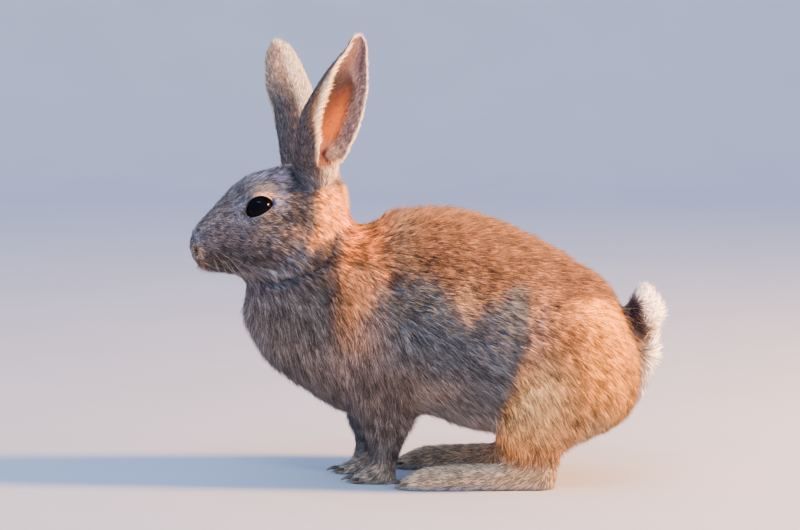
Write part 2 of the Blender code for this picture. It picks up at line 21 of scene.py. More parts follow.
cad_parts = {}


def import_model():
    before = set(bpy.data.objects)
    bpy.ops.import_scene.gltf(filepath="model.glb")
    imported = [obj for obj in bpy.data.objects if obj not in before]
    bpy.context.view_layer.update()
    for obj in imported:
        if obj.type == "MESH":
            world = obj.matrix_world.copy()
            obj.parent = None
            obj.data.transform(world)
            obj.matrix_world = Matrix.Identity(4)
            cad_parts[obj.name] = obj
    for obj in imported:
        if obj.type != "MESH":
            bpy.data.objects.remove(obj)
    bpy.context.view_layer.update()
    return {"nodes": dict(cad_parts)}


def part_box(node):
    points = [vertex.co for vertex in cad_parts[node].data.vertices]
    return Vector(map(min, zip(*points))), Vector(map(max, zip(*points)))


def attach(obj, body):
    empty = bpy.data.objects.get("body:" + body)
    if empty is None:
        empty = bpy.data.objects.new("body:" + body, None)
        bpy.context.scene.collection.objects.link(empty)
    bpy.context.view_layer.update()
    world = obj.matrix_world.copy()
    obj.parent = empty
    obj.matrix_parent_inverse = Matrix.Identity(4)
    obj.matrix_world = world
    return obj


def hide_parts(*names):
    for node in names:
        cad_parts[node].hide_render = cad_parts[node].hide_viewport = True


log = logging.getLogger("rabbit")

MM = 0.001
BODY = "root"
HEAD_TURN = math.radians(9.0)
HEAD_PIVOT = np.array([-54.0, 0.0, 150.0])
UV_NAME = "OFBake"
# Places on the straight head, in millimetres: the left nostril, and the eyes with both sides folded.
NOSTRIL = (-132.0, -7.9, 131.9)
EYE_MIDDLE = (-95.6, 13.4, 156.4)
# The span of a patch of coat that has no end along X, in millimetres.
ANYWHERE = (-200, 200)


class Side(Enum):
    """Which side of the rabbit, with its sign along Y."""

    LEFT = -1
    RIGHT = 1

    @property
    def word(self) -> str:
        """The side's name as the nodes spell it."""
        return self.name.lower()


class Region(Enum):
    """The regions of the body that the nodes of flesh stand for."""

    HEAD = 0
    NECK = 1
    TRUNK = 2
    THIGH = 3
    FORELEG = 4
    FOREPAW = 5
    HIND_FOOT = 6
    TAIL = 7
    EAR = 8

    @classmethod
    def of_node(cls, node: str) -> "Region":
        """The region that a node of flesh belongs to."""
        plain = node.replace("_left", "").replace("_right", "")
        return cls[plain.upper()]


def linear(red: int, green: int, blue: int) -> tuple[float, float, float]:
    """A colour given as sRGB bytes, in linear light.

    Args:
        red, green, blue: channel values from 0 to 255.

    Returns:
        The three linear channel values, from 0 to 1.
    """

    def channel(byte: int) -> float:
        """One channel."""
        share = byte / 255
        return share / 12.92 if share <= 0.04045 else ((share + 0.055) / 1.055) ** 2.4

    return channel(red), channel(green), channel(blue)


def turned(points: np.ndarray, angle: float) -> np.ndarray:
    """Points in millimetres, turned level about the head's pivot by an angle in radians."""
    c, s = math.cos(angle), math.sin(angle)
    moved = np.asarray(points, float) - HEAD_PIVOT
    out = moved.copy()
    out[..., 0] = moved[..., 0] * c - moved[..., 1] * s
    out[..., 1] = moved[..., 0] * s + moved[..., 1] * c
    return out + HEAD_PIVOT


def to_head(points: np.ndarray) -> np.ndarray:
    """Points in millimetres of the turned head, brought back to the straight head."""
    return turned(points, -HEAD_TURN)


def from_head(points: np.ndarray) -> np.ndarray:
    """Points in millimetres of the straight head, carried to the turned head."""
    return turned(points, HEAD_TURN)


def unit(vectors: np.ndarray) -> np.ndarray:
    """The vectors scaled to length one."""
    length = np.linalg.norm(vectors, axis=-1, keepdims=True)
    return vectors / np.maximum(length, 1e-12)


def smoothstep(low: float, high: float, values: np.ndarray) -> np.ndarray:
    """A soft step from 0 at low to 1 at high; low may be the larger of the two."""
    t = np.clip((values - low) / (high - low), 0.0, 1.0)
    return t * t * (3 - 2 * t)


def blob(points: np.ndarray, centre: tuple, radii: tuple) -> np.ndarray:
    """A soft spot: 1 at its centre, falling to nearly 0 at about 1.6 radii.

    Args:
        points: (n, 3) places in millimetres.
        centre: the spot's middle.
        radii: its reach along X, Y and Z.

    Returns:
        (n,) weights.
    """
    distance = ((points - np.array(centre, float)) / np.array(radii, float)) ** 2
    return np.exp(-distance.sum(axis=1) * 1.2)


def vectors(source: object, key: str) -> np.ndarray:
    """The vectors that a collection keeps under a key, as an (n, 3) array."""
    flat = np.empty(len(source) * 3, np.float32)
    source.foreach_get(key, flat)
    return flat.reshape(-1, 3).astype(float)


def coordinates(mesh: bpy.types.Mesh) -> np.ndarray:
    """The vertex places of a mesh as an (n, 3) array."""
    return vectors(mesh.vertices, "co")


def set_coordinates(mesh: bpy.types.Mesh, places: np.ndarray) -> None:
    """Moves the vertices of a mesh."""
    mesh.vertices.foreach_set("co", places.astype(np.float32).ravel())
    mesh.update()


def vertex_normals(mesh: bpy.types.Mesh) -> np.ndarray:
    """The vertex normals of a mesh as an (n, 3) array."""
    return vectors(mesh.vertex_normals, "vector")


def triangles(mesh: bpy.types.Mesh) -> int:
    """How many triangles the faces of a mesh make."""
    return sum(len(p.vertices) - 2 for p in mesh.polygons)


def store(mesh: bpy.types.Mesh, name: str, kind: str, values: np.ndarray) -> None:
    """Writes a point attribute.

    Args:
        mesh: the mesh that gets it.
        name: the attribute's name.
        kind: FLOAT, FLOAT_VECTOR or FLOAT_COLOR.
        values: one row for each vertex; a colour's alpha is added.
    """
    old = mesh.attributes.get(name)
    if old is not None:
        mesh.attributes.remove(old)
    attribute = mesh.attributes.new(name, kind, "POINT")
    if kind == "FLOAT_COLOR":
        values = np.column_stack([values, np.ones(len(values))])
    key = {"FLOAT": "value", "FLOAT_VECTOR": "vector", "FLOAT_COLOR": "color"}[kind]
    attribute.data.foreach_set(key, np.asarray(values, np.float32).ravel())


def object_of(name: str, data: bpy.types.ID) -> bpy.types.Object:
    """Links a new object that shows a mesh, a lamp or a camera."""
    obj = bpy.data.objects.new(name, data)
    bpy.context.scene.collection.objects.link(obj)
    return obj


def applied(obj: bpy.types.Object) -> bpy.types.Object:
    """Turns the object's modifiers into its mesh, and removes them."""
    graph = bpy.context.evaluated_depsgraph_get()
    mesh = bpy.data.meshes.new_from_object(obj.evaluated_get(graph), depsgraph=graph)
    obj.modifiers.clear()
    old = obj.data
    obj.data = mesh
    mesh.name = obj.name
    if old.users == 0:
        bpy.data.meshes.remove(old)
    return obj


def ring_mesh(name: str, rings: list, closed_ends: bool = True) -> bpy.types.Mesh:
    """A mesh from equal rings of points in metres, joined in order.

    Args:
        name: the mesh's name.
        rings: lists of points, each going round the same way.
        closed_ends: whether a fan closes each end.

    Returns:
        The mesh, with its faces pointing out.
    """
    bm = bmesh.new()
    loops = [[bm.verts.new(p) for p in ring] for ring in rings]
    count = len(loops[0])
    for lower, upper in zip(loops, loops[1:]):
        for k in range(count):
            bm.faces.new((lower[k], lower[(k + 1) % count], upper[(k + 1) % count], upper[k]))
    if closed_ends:
        for loop in (loops[0], loops[-1]):
            centre = bm.verts.new(sum((v.co for v in loop), Vector()) / count)
            for k in range(count):
                bm.faces.new((loop[k], loop[(k + 1) % count], centre))
    bmesh.ops.recalc_face_normals(bm, faces=bm.faces)
    mesh = bpy.data.meshes.new(name)
    bm.to_mesh(mesh)
    bm.free()
    mesh.shade_smooth()
    return mesh


def circle(centre: np.ndarray, across: np.ndarray, other: np.ndarray, sides: int,
           radius: float = 1.0) -> list:
    """A ring of points in metres.

    Args:
        centre: its middle, in millimetres.
        across, other: the two axes that it goes round.
        sides: how many points it has.
        radius: what the axes are multiplied by.

    Returns:
        The points.
    """
    turns = [math.tau * k / sides for k in range(sides)]
    return [Vector(centre + (across * math.cos(t) + other * math.sin(t)) * radius) * MM for t in turns]


def tapered_mesh(name: str, rings: list) -> bpy.types.Mesh:
    """A closed tube through the rings, with the attribute along from 0 at its root to 1 at its tip."""
    mesh = ring_mesh(name, rings)
    values = np.repeat(np.linspace(0, 1, len(rings)), len(rings[0]))
    store(mesh, "along", "FLOAT", np.concatenate([values, [0.0, 1.0]]))
    return mesh


def joined_meshes(name: str, meshes: list) -> bpy.types.Mesh:
    """One mesh that holds all the given ones."""
    bm = bmesh.new()
    for mesh in meshes:
        bm.from_mesh(mesh)
    out = bpy.data.meshes.new(name)
    bm.to_mesh(out)
    bm.free()
    out.shade_smooth()
    return out


class Surface:
    """A mesh as arrays, for smoothing values over its vertices."""

    def __init__(self, mesh: bpy.types.Mesh) -> None:
        """Reads the places and edges of the mesh."""
        self.places = coordinates(mesh)
        ends = np.empty(len(mesh.edges) * 2, np.int32)
        mesh.edges.foreach_get("vertices", ends)
        self.ends = ends.reshape(-1, 2)
        self.count = len(self.places)
        degree = np.bincount(self.ends.ravel(), minlength=self.count)
        self.degree = np.maximum(degree, 1)

    def smoothed(self, values: np.ndarray, rounds: int, share: np.ndarray | float = 0.5) -> np.ndarray:
        """Values averaged with their neighbours.

        Args:
            values: (n,) or (n, k) values at the vertices.
            rounds: how many times they are averaged.
            share: how far each value moves to its neighbours' mean each time.

        Returns:
            The smoothed values, in the same shape.
        """
        flat = values.reshape(self.count, -1).astype(float)
        first, second = self.ends[:, 0], self.ends[:, 1]
        move = np.broadcast_to(np.asarray(share, float), (self.count,))[:, None]
        for _ in range(rounds):
            mean = np.empty_like(flat)
            for k in range(flat.shape[1]):
                column = flat[:, k]
                total = np.bincount(first, weights=column[second], minlength=self.count)
                total += np.bincount(second, weights=column[first], minlength=self.count)
                mean[:, k] = total / self.degree
            flat = flat + (mean - flat) * move
        return flat.reshape(values.shape)


@dataclass
class Flow:
    """The lie of the coat: which way the hair points, from a few places on the body."""

    # (place, direction, reach) on the left side or the middle, in millimetres.
    anchors: tuple = (
        ((-132, 0, 143), (0.45, 0, 0.9), 8),
        ((-118, 0, 160), (0.75, 0, 0.65), 12),
        ((-98, 0, 176), (0.9, 0, 0.4), 14),
        ((-72, 0, 181), (1.0, 0, -0.05), 14),
        ((-50, 0, 166), (0.45, 0, -0.9), 12),
        ((-125, -10, 135), (0.8, -0.35, -0.15), 9),
        ((-122, -8, 122), (0.8, -0.1, -0.35), 8),
        ((-104, -18, 140), (1.0, 0, -0.2), 14),
        ((-84, -24, 150), (1.0, 0, 0.0), 14),
        ((-66, -24, 160), (0.8, 0, -0.4), 14),
        ((-70, -24, 135), (0.8, 0, -0.6), 16),
        ((-90, -15, 115), (0.8, 0, -0.5), 16),
        ((-50, -22, 140), (0.7, 0, -0.7), 16),
        ((-40, 0, 152), (0.8, 0, -0.4), 14),
        ((-15, 0, 155), (1.0, 0, 0.05), 20),
        ((-100, 0, 92), (0.15, 0, -1.0), 20),
        ((-85, -20, 80), (0.35, 0, -0.95), 20),
        ((-72, 0, 55), (0.65, 0, -0.75), 20),
        ((-50, -35, 105), (0.65, 0, -0.75), 24),
        ((-30, -40, 80), (0.35, 0, -0.95), 22),
        ((-25, -28, 50), (0.1, 0, -1.0), 16),
        ((-24, -17, 28), (0.0, 0, -1.0), 14),
        ((-18, -17, 12), (-0.3, 0, -0.95), 7),
        ((-34, -17, 9), (-1.0, 0, -0.3), 9),
        ((40, 0, 150), (1.0, 0, -0.15), 30),
        ((85, 0, 128), (0.9, 0, -0.45), 24),
        ((112, 0, 100), (0.55, 0, -0.85), 16),
        ((120, 0, 60), (0.0, 0, -1.0), 22),
        ((0, -42, 115), (0.9, 0, -0.45), 28),
        ((40, -50, 100), (0.9, 0, -0.45), 30),
        ((30, -46, 60), (0.9, 0, -0.45), 26),
        ((10, -15, 34), (1.0, 0, -0.1), 24),
        ((50, -15, 26), (1.0, 0, -0.1), 22),
        ((75, -54, 92), (0.8, 0, -0.6), 24),
        ((100, -48, 75), (0.5, 0, -0.85), 24),
        ((60, -56, 60), (0.6, 0, -0.8), 22),
        ((85, -56, 45), (0.5, 0, -0.85), 22),
        ((100, -40, 38), (0.35, 0, -0.95), 18),
        ((60, -40, 26), (0.1, 0, -1.0), 12),
        ((73, -37, 12), (0.2, 0, -1.0), 6),
        ((55, -37, 14), (-0.9, 0, -0.2), 12),
        ((20, -37, 10), (-1.0, 0, -0.15), 20),
        ((-8, -37, 6), (-1.0, 0, -0.4), 10),
        ((117, 0, 70), (0.1, 0, 1.0), 10),
        ((132, 0, 80), (0.1, 0, 1.0), 16),
        ((120, 0, 104), (-0.2, 0, 1.0), 10),
    )

    def at(self, f: "SkinFields", eyes: dict) -> np.ndarray:
        """The direction of the hair at the vertices of the skin.

        Args:
            f: the skin's fields.
            eyes: the settings of the eyes, which the hair flows round.

        Returns:
            (n, 3) unit vectors along the skin.
        """
        points, normals = f.places, f.normals
        total = np.zeros_like(points)
        mirrored = points.copy()
        side = np.where(points[:, 1] > 0, -1.0, 1.0)
        mirrored[:, 1] *= side
        for place, direction, reach in self.anchors:
            distance = np.linalg.norm(mirrored - np.array(place, float), axis=1)
            weight = 1.0 / (1.0 + (distance / reach) ** 2) ** 3
            total += np.array(direction)[None, :] * weight[:, None]
        total[:, 1] *= side
        total = unit(total)
        for eye in eyes.values():
            share, ahead, distance = eye.spread(points)
            outwards = unit(points - eye.centre - eye.gaze * ahead[:, None])
            near = smoothstep(2.1, 1.05, share) * (distance < eye.radius + 12) * (ahead > 0)
            total += outwards * near[:, None] * 0.9
        on_ear = f.regions[:, Region.EAR.value]
        margin = smoothstep(0.07, 0.02, f.ear_across) * smoothstep(0.28, 0.36, f.ear_along)
        along_ear = f.ear_run + f.ear_aside * ((f.ear_across - 0.5) * 0.35)[:, None]
        along_ear = along_ear * (1 - margin)[:, None] + (f.ear_aside + f.ear_run * 0.7) * margin[:, None]
        total = total * (1 - on_ear)[:, None] + unit(along_ear) * on_ear[:, None]
        total -= normals * (total * normals).sum(axis=1, keepdims=True)
        return unit(total)


@dataclass(frozen=True)
class Palette:
    """The coat's tones in sun and in shade, as linear light."""

    # Several of these tones are painted light and painted shade: the flank's grey shadow and the groin's, the
    # lit wedge, the sunlit shoulder, nape, cheek, haunch edge and thigh front, and on the ears the glow, the
    # sunlit low band and fold, the shaded upper lining and the shaded slit.
    back: tuple = linear(109, 78, 58)
    withers: tuple = linear(124, 100, 80)
    rufous: tuple = linear(244, 154, 70)
    shoulder: tuple = linear(236, 166, 102)
    flank: tuple = linear(100, 108, 113)
    flank_lit: tuple = linear(196, 162, 128)
    chest: tuple = linear(113, 111, 107)
    arm: tuple = linear(150, 140, 132)
    belly: tuple = linear(180, 180, 180)
    haunch: tuple = linear(200, 146, 84)
    haunch_high: tuple = linear(222, 172, 140)
    haunch_shade: tuple = linear(178, 126, 80)
    groin: tuple = linear(96, 106, 118)
    thigh_pale: tuple = linear(255, 212, 142)
    rump: tuple = linear(222, 160, 66)
    rump_low: tuple = linear(160, 136, 104)
    leg: tuple = linear(116, 114, 110)
    foot: tuple = linear(228, 194, 152)
    face: tuple = linear(90, 90, 95)
    bridge: tuple = linear(147, 127, 117)
    crown: tuple = linear(196, 174, 176)
    temple: tuple = linear(60, 60, 66)
    muzzle: tuple = linear(54, 53, 49)
    pad: tuple = linear(66, 59, 50)
    cheek: tuple = linear(160, 130, 110)
    lit: tuple = linear(252, 180, 100)
    cream: tuple = linear(255, 206, 168)
    pale: tuple = linear(156, 153, 160)
    jaw: tuple = linear(145, 147, 146)
    throat: tuple = linear(92, 92, 89)
    nape: tuple = linear(108, 86, 72)
    behind_eye: tuple = linear(116, 132, 176)
    nose: tuple = linear(176, 158, 140)
    shoulder_pale: tuple = linear(240, 188, 146)
    chest_low: tuple = linear(106, 100, 95)
    chest_front: tuple = linear(126, 124, 120)
    tear: tuple = linear(184, 184, 190)
    rim: tuple = linear(206, 166, 124)
    dark: tuple = linear(44, 42, 42)
    ear_back: tuple = linear(104, 88, 80)
    ear_far: tuple = linear(218, 176, 142)
    ear_root: tuple = linear(128, 118, 112)
    ear_root_lit: tuple = linear(222, 192, 162)
    ear_cream: tuple = linear(255, 236, 200)
    ear_rim: tuple = linear(255, 236, 200)
    ear_pink: tuple = linear(98, 61, 49)
    ear_glow: tuple = linear(255, 142, 54)
    ear_pink_high: tuple = linear(60, 50, 50)
    ear_high: tuple = linear(128, 98, 90)
    ear_low: tuple = linear(255, 196, 148)
    ear_fold: tuple = linear(255, 236, 196)
    ear_flap: tuple = linear(196, 162, 144)
    tail_white: tuple = linear(255, 254, 248)
    tail_blush: tuple = linear(250, 222, 200)
    tail_dark: tuple = linear(26, 20, 24)
    tail_mix: tuple = linear(116, 74, 56)
    nostril: tuple = (0.003, 0.002, 0.002)
    lid_margin: tuple = (0.006, 0.004, 0.004)
    ear_slit: tuple = (0.05, 0.016, 0.011)


class Graph:
    """Adds nodes to a node tree and links them as they are named in a call."""

    def __init__(self, tree: bpy.types.NodeTree) -> None:
        """Works on the given tree."""
        self.tree = tree

    def add(self, kind: str, inputs: dict | None = None, **settings: object) -> bpy.types.Node:
        """A new node.

        Args:
            kind: the node's type.
            inputs: what each input gets, by name or number: a socket to link, or a value.
            settings: the node's own properties.

        Returns:
            The node.
        """
        node = self.tree.nodes.new(kind)
        for name, value in settings.items():
            setattr(node, name, value)
        self.feed(node, inputs or {})
        return node

    def feed(self, node: bpy.types.Node, inputs: dict) -> None:
        """Links a socket, or sets a value, on each named input of a node."""
        for key, value in inputs.items():
            if isinstance(value, bpy.types.NodeSocket):
                self.tree.links.new(value, node.inputs[key])
            else:
                node.inputs[key].default_value = value

    def noise(self, place: object, scale: object, detail: float = 2.0) -> bpy.types.Node:
        """A Noise Texture node."""
        return self.add("ShaderNodeTexNoise", {"Vector": place, "Scale": scale, "Detail": detail})

    def on_object(self) -> bpy.types.NodeSocket:
        """The place on the object, in a material."""
        return self.add("ShaderNodeTexCoord").outputs["Object"]

    def valued(self, colour: object, value: object) -> bpy.types.NodeSocket:
        """A colour made lighter or darker."""
        return self.add("ShaderNodeHueSaturation", {"Color": colour, "Value": value}).outputs[0]

    def math(self, operation: str, *values: object) -> bpy.types.NodeSocket:
        """The result of a Math node."""
        return self.add("ShaderNodeMath", dict(enumerate(values)), operation=operation).outputs[0]

    def vector(self, operation: str, *values: object) -> bpy.types.NodeSocket:
        """The result of a Vector Math node that gives a vector."""
        return self.add("ShaderNodeVectorMath", dict(enumerate(values)), operation=operation).outputs[0]

    def scaled(self, vector: object, factor: object) -> bpy.types.NodeSocket:
        """A vector times a number."""
        node = self.add("ShaderNodeVectorMath", {0: vector, "Scale": factor}, operation="SCALE")
        return node.outputs[0]

    def named(self, name: str, data_type: str = "FLOAT") -> bpy.types.NodeSocket:
        """A named attribute, in a geometry tree."""
        node = self.add("GeometryNodeInputNamedAttribute", {"Name": name}, data_type=data_type)
        return node.outputs["Attribute"]

    def painted(self, name: str, output: str = "Fac") -> bpy.types.NodeSocket:
        """A named attribute, in a material."""
        node = self.add("ShaderNodeAttribute", attribute_name=name)
        return node.outputs[output]

    def mixed(self, factor: object, first: object, second: object,
              blend: str = "MIX") -> bpy.types.NodeSocket:
        """Two colours mixed."""
        colours = [(*c, 1.0) if isinstance(c, tuple) else c for c in (first, second)]
        inputs = dict(zip((0, 6, 7), (factor, *colours)))
        return self.add("ShaderNodeMix", inputs, data_type="RGBA", blend_type=blend).outputs[2]

    def ranged(self, value: object, low: float, high: float, to_low: float = 0.0,
               to_high: float = 1.0) -> bpy.types.NodeSocket:
        """A value mapped smoothly from one range to another."""
        inputs = {"Value": value, "From Min": low, "From Max": high, "To Min": to_low, "To Max": to_high}
        node = self.add("ShaderNodeMapRange", inputs, interpolation_type="SMOOTHSTEP")
        return node.outputs[0]


def new_material(name: str) -> tuple[bpy.types.Material, Graph, bpy.types.Node]:
    """An empty material with a Principled shader.

    Args:
        name: the material's name.

    Returns:
        The material, its graph, and the shader node.
    """
    material = bpy.data.materials.new(name)
    material.use_nodes = True
    tree = material.node_tree
    tree.nodes.clear()
    graph = Graph(tree)
    shader = graph.add("ShaderNodeBsdfPrincipled")
    output = graph.add("ShaderNodeOutputMaterial")
    tree.links.new(shader.outputs[0], output.inputs[0])
    return material, graph, shader


@dataclass(frozen=True)
class CoatFinish:
    """The finish of the tufts: banded hairs that take their colour from the skin at their root."""

    roughness: float = 0.62
    specular: float = 0.28
    sheen: float = 0.12
    softening: float = 0.3
    hair_contrast: float = 1.5
    darkest: float = 0.34
    lightest: float = 1.95
    underfur: tuple = (0.05, 0.045, 0.045)
    band_tint: tuple = (1.32, 1.26, 1.18)
    tip_tone: tuple = (0.03, 0.022, 0.018)

    def material(self) -> bpy.types.Material:
        """Builds the material."""
        material, g, shader = new_material("coat_hair")
        colour = g.painted("coat_colour", "Color")
        along = g.painted("along")
        chance = g.painted("chance")
        ticking = g.painted("ticking")
        other = g.math("FRACT", g.math("MULTIPLY", chance, 17.31))
        # Grey underfur at the root.
        root = g.math("MULTIPLY", g.ranged(along, 0.35, 0.0), g.math("MULTIPLY_ADD", ticking, 0.45, 0.12))
        shade = g.mixed(root, colour, self.underfur)
        # A paler band under the tip.
        band = g.math("MULTIPLY", g.ranged(along, 0.35, 0.6), g.ranged(other, 0.2, 0.9))
        pale = g.mixed(1.0, shade, self.band_tint, "MULTIPLY")
        shade = g.mixed(band, shade, pale)
        # Dark tips on part of the hairs.
        tip = g.math("MULTIPLY", g.ranged(along, 0.62, 0.85), g.ranged(chance, 0.68, 0.6))
        tip = g.math("MULTIPLY", tip, ticking)
        shade = g.mixed(g.math("MULTIPLY", tip, 0.8), shade, self.tip_tone)
        tone = g.ranged(g.painted("tone"), 0.38, 0.62, self.darkest, self.lightest)
        patchy = g.ranged(ticking, 0.0, 0.6)
        patches = g.math("MULTIPLY_ADD", g.math("SUBTRACT", tone, 1.0), patchy, 1.0)
        single = g.math("MULTIPLY_ADD", other, self.hair_contrast, 1.0 - self.hair_contrast / 2)
        light = g.math("MULTIPLY", single, patches)
        # The light falls on a tuft partly as it does on the skin under it.
        flat = g.add("ShaderNodeNewGeometry").outputs["Normal"]
        skin = g.painted("skin_normal", "Vector")
        blended = g.add("ShaderNodeMix", {0: self.softening, 4: flat, 5: skin}, data_type="VECTOR")
        g.feed(shader, {
            "Base Color": g.valued(shade, light), "Normal": g.vector("NORMALIZE", blended.outputs[1]),
            "Roughness": self.roughness, "Specular IOR Level": self.specular, "Sheen Weight": self.sheen,
        })
        return material


@dataclass(frozen=True)
class SkinFinish:
    """The finish of the skin: the coat's colours, mottled, with a fine bump and wet places."""

    fleck_scale: float = 900.0
    hair_scale: float = 1500.0
    bump: float = 0.35
    specular: float = 0.3
    dry_roughness: float = 0.72
    wet_roughness: float = 0.16
    under_tint: tuple = (0.62, 0.6, 0.6)

    def material(self) -> bpy.types.Material:
        """Builds the material."""
        material, g, shader = new_material("rabbit_skin")
        colour = g.painted("coat_colour", "Color")
        place = g.on_object()
        flecks = g.noise(place, self.fleck_scale, 3.0).outputs["Fac"]
        hairs = g.noise(place, self.hair_scale).outputs["Fac"]
        under = g.mixed(1.0, colour, self.under_tint, "MULTIPLY")
        furred = g.valued(under, g.ranged(flecks, 0.38, 0.62, 0.75, 1.1))
        bump = g.add("ShaderNodeBump", {
            "Strength": self.bump, "Distance": 0.0004, "Height": g.math("ADD", hairs, flecks),
        })
        g.feed(shader, {
            "Base Color": g.mixed(g.painted("bare"), furred, colour),
            "Roughness": g.ranged(g.painted("wet"), 0.0, 1.0, self.dry_roughness, self.wet_roughness),
            "Specular IOR Level": self.specular, "Normal": bump.outputs[0],
        })
        return material


@dataclass(frozen=True)
class EyeFinish:
    """The finish of the eyeball: nearly black, with a dark brown iris that shows at its rim."""

    pupil: tuple = linear(5, 4, 5)
    iris: tuple = linear(44, 20, 12)
    roughness: float = 0.03
    specular: float = 0.06

    def material(self) -> bpy.types.Material:
        """Builds the material."""
        material, g, shader = new_material("eye_dark")
        fibres = g.noise(g.on_object(), 1400.0, 3.0).outputs["Fac"]
        iris = g.mixed(fibres, self.iris, tuple(c * 0.35 for c in self.iris))
        colour = g.mixed(g.ranged(g.painted("off_axis"), 0.46, 0.72), self.pupil, iris)
        g.feed(shader, {
            "Base Color": colour, "Roughness": self.roughness, "Specular IOR Level": self.specular,
        })
        return material


@dataclass(frozen=True)
class HornFinish:
    """The finish of the claws: dark horn, paler towards the tip, with fine streaks."""

    root: tuple = linear(70, 56, 46)
    tip: tuple = linear(138, 118, 98)
    roughness: float = 0.38
    bump: float = 0.3

    def material(self) -> bpy.types.Material:
        """Builds the material."""
        material, g, shader = new_material("claw_horn")
        streaks = g.noise(g.on_object(), 2200.0).outputs["Fac"]
        colour = g.mixed(g.ranged(g.painted("along"), 0.2, 1.0), self.root, self.tip)
        bump = g.add("ShaderNodeBump", {"Strength": self.bump, "Distance": 0.0002, "Height": streaks})
        g.feed(shader, {
            "Base Color": g.valued(colour, g.ranged(streaks, 0.3, 0.7, 0.8, 1.15)),
            "Normal": bump.outputs[0], "Roughness": self.roughness,
        })
        return material


@dataclass(frozen=True)
class WhiskerFinish:
    """The finish of whiskers and long single hairs: pale and a little glossy, darker at the root."""

    root: tuple = linear(60, 52, 48)
    tip: tuple = linear(190, 184, 176)
    roughness: float = 0.4

    def material(self) -> bpy.types.Material:
        """Builds the material."""
        material, g, shader = new_material("whisker_hair")
        uneven = g.noise(g.on_object(), 300.0).outputs["Fac"]
        share = g.math("ADD", g.painted("along"), g.math("MULTIPLY", uneven, 0.2))
        colour = g.mixed(g.ranged(share, 0.1, 0.5), self.root, self.tip)
        g.feed(shader, {"Base Color": colour, "Roughness": self.roughness})
        return material


@dataclass(frozen=True)
class FloorFinish:
    """The finish of the studio floor: a pale, matt paper with a faint mottle."""

    tone: tuple = linear(204, 208, 214)
    roughness: float = 0.9

    def material(self) -> bpy.types.Material:
        """Builds the material."""
        material, g, shader = new_material("pale_paper")
        mottle = g.noise(g.on_object(), 6.0, 4.0).outputs["Fac"]
        colour = g.mixed(g.ranged(mottle, 0.3, 0.7), self.tone, tuple(c * 0.96 for c in self.tone))
        g.feed(shader, {"Base Color": colour, "Roughness": self.roughness})
        return material


def smooth_between(rows: np.ndarray, steps: int) -> np.ndarray:
    """Catmull-Rom rows through the given rows.

    Args:
        rows: (n, k) rows of numbers.
        steps: how many rows go from each given row to the next.

    Returns:
        The denser rows.
    """
    padded = np.vstack([2 * rows[0] - rows[1], rows, 2 * rows[-1] - rows[-2]])
    out = []
    for i in range(1, len(padded) - 2):
        p0, p1, p2, p3 = padded[i - 1 : i + 3]
        for k in range(steps):
            t = k / steps
            bend = (2 * p0 - 5 * p1 + 4 * p2 - p3) * t**2 + (3 * p1 - p0 - 3 * p2 + p3) * t**3
            out.append(0.5 * (2 * p1 + (p2 - p0) * t + bend))
    out.append(rows[-1])
    return np.array(out)


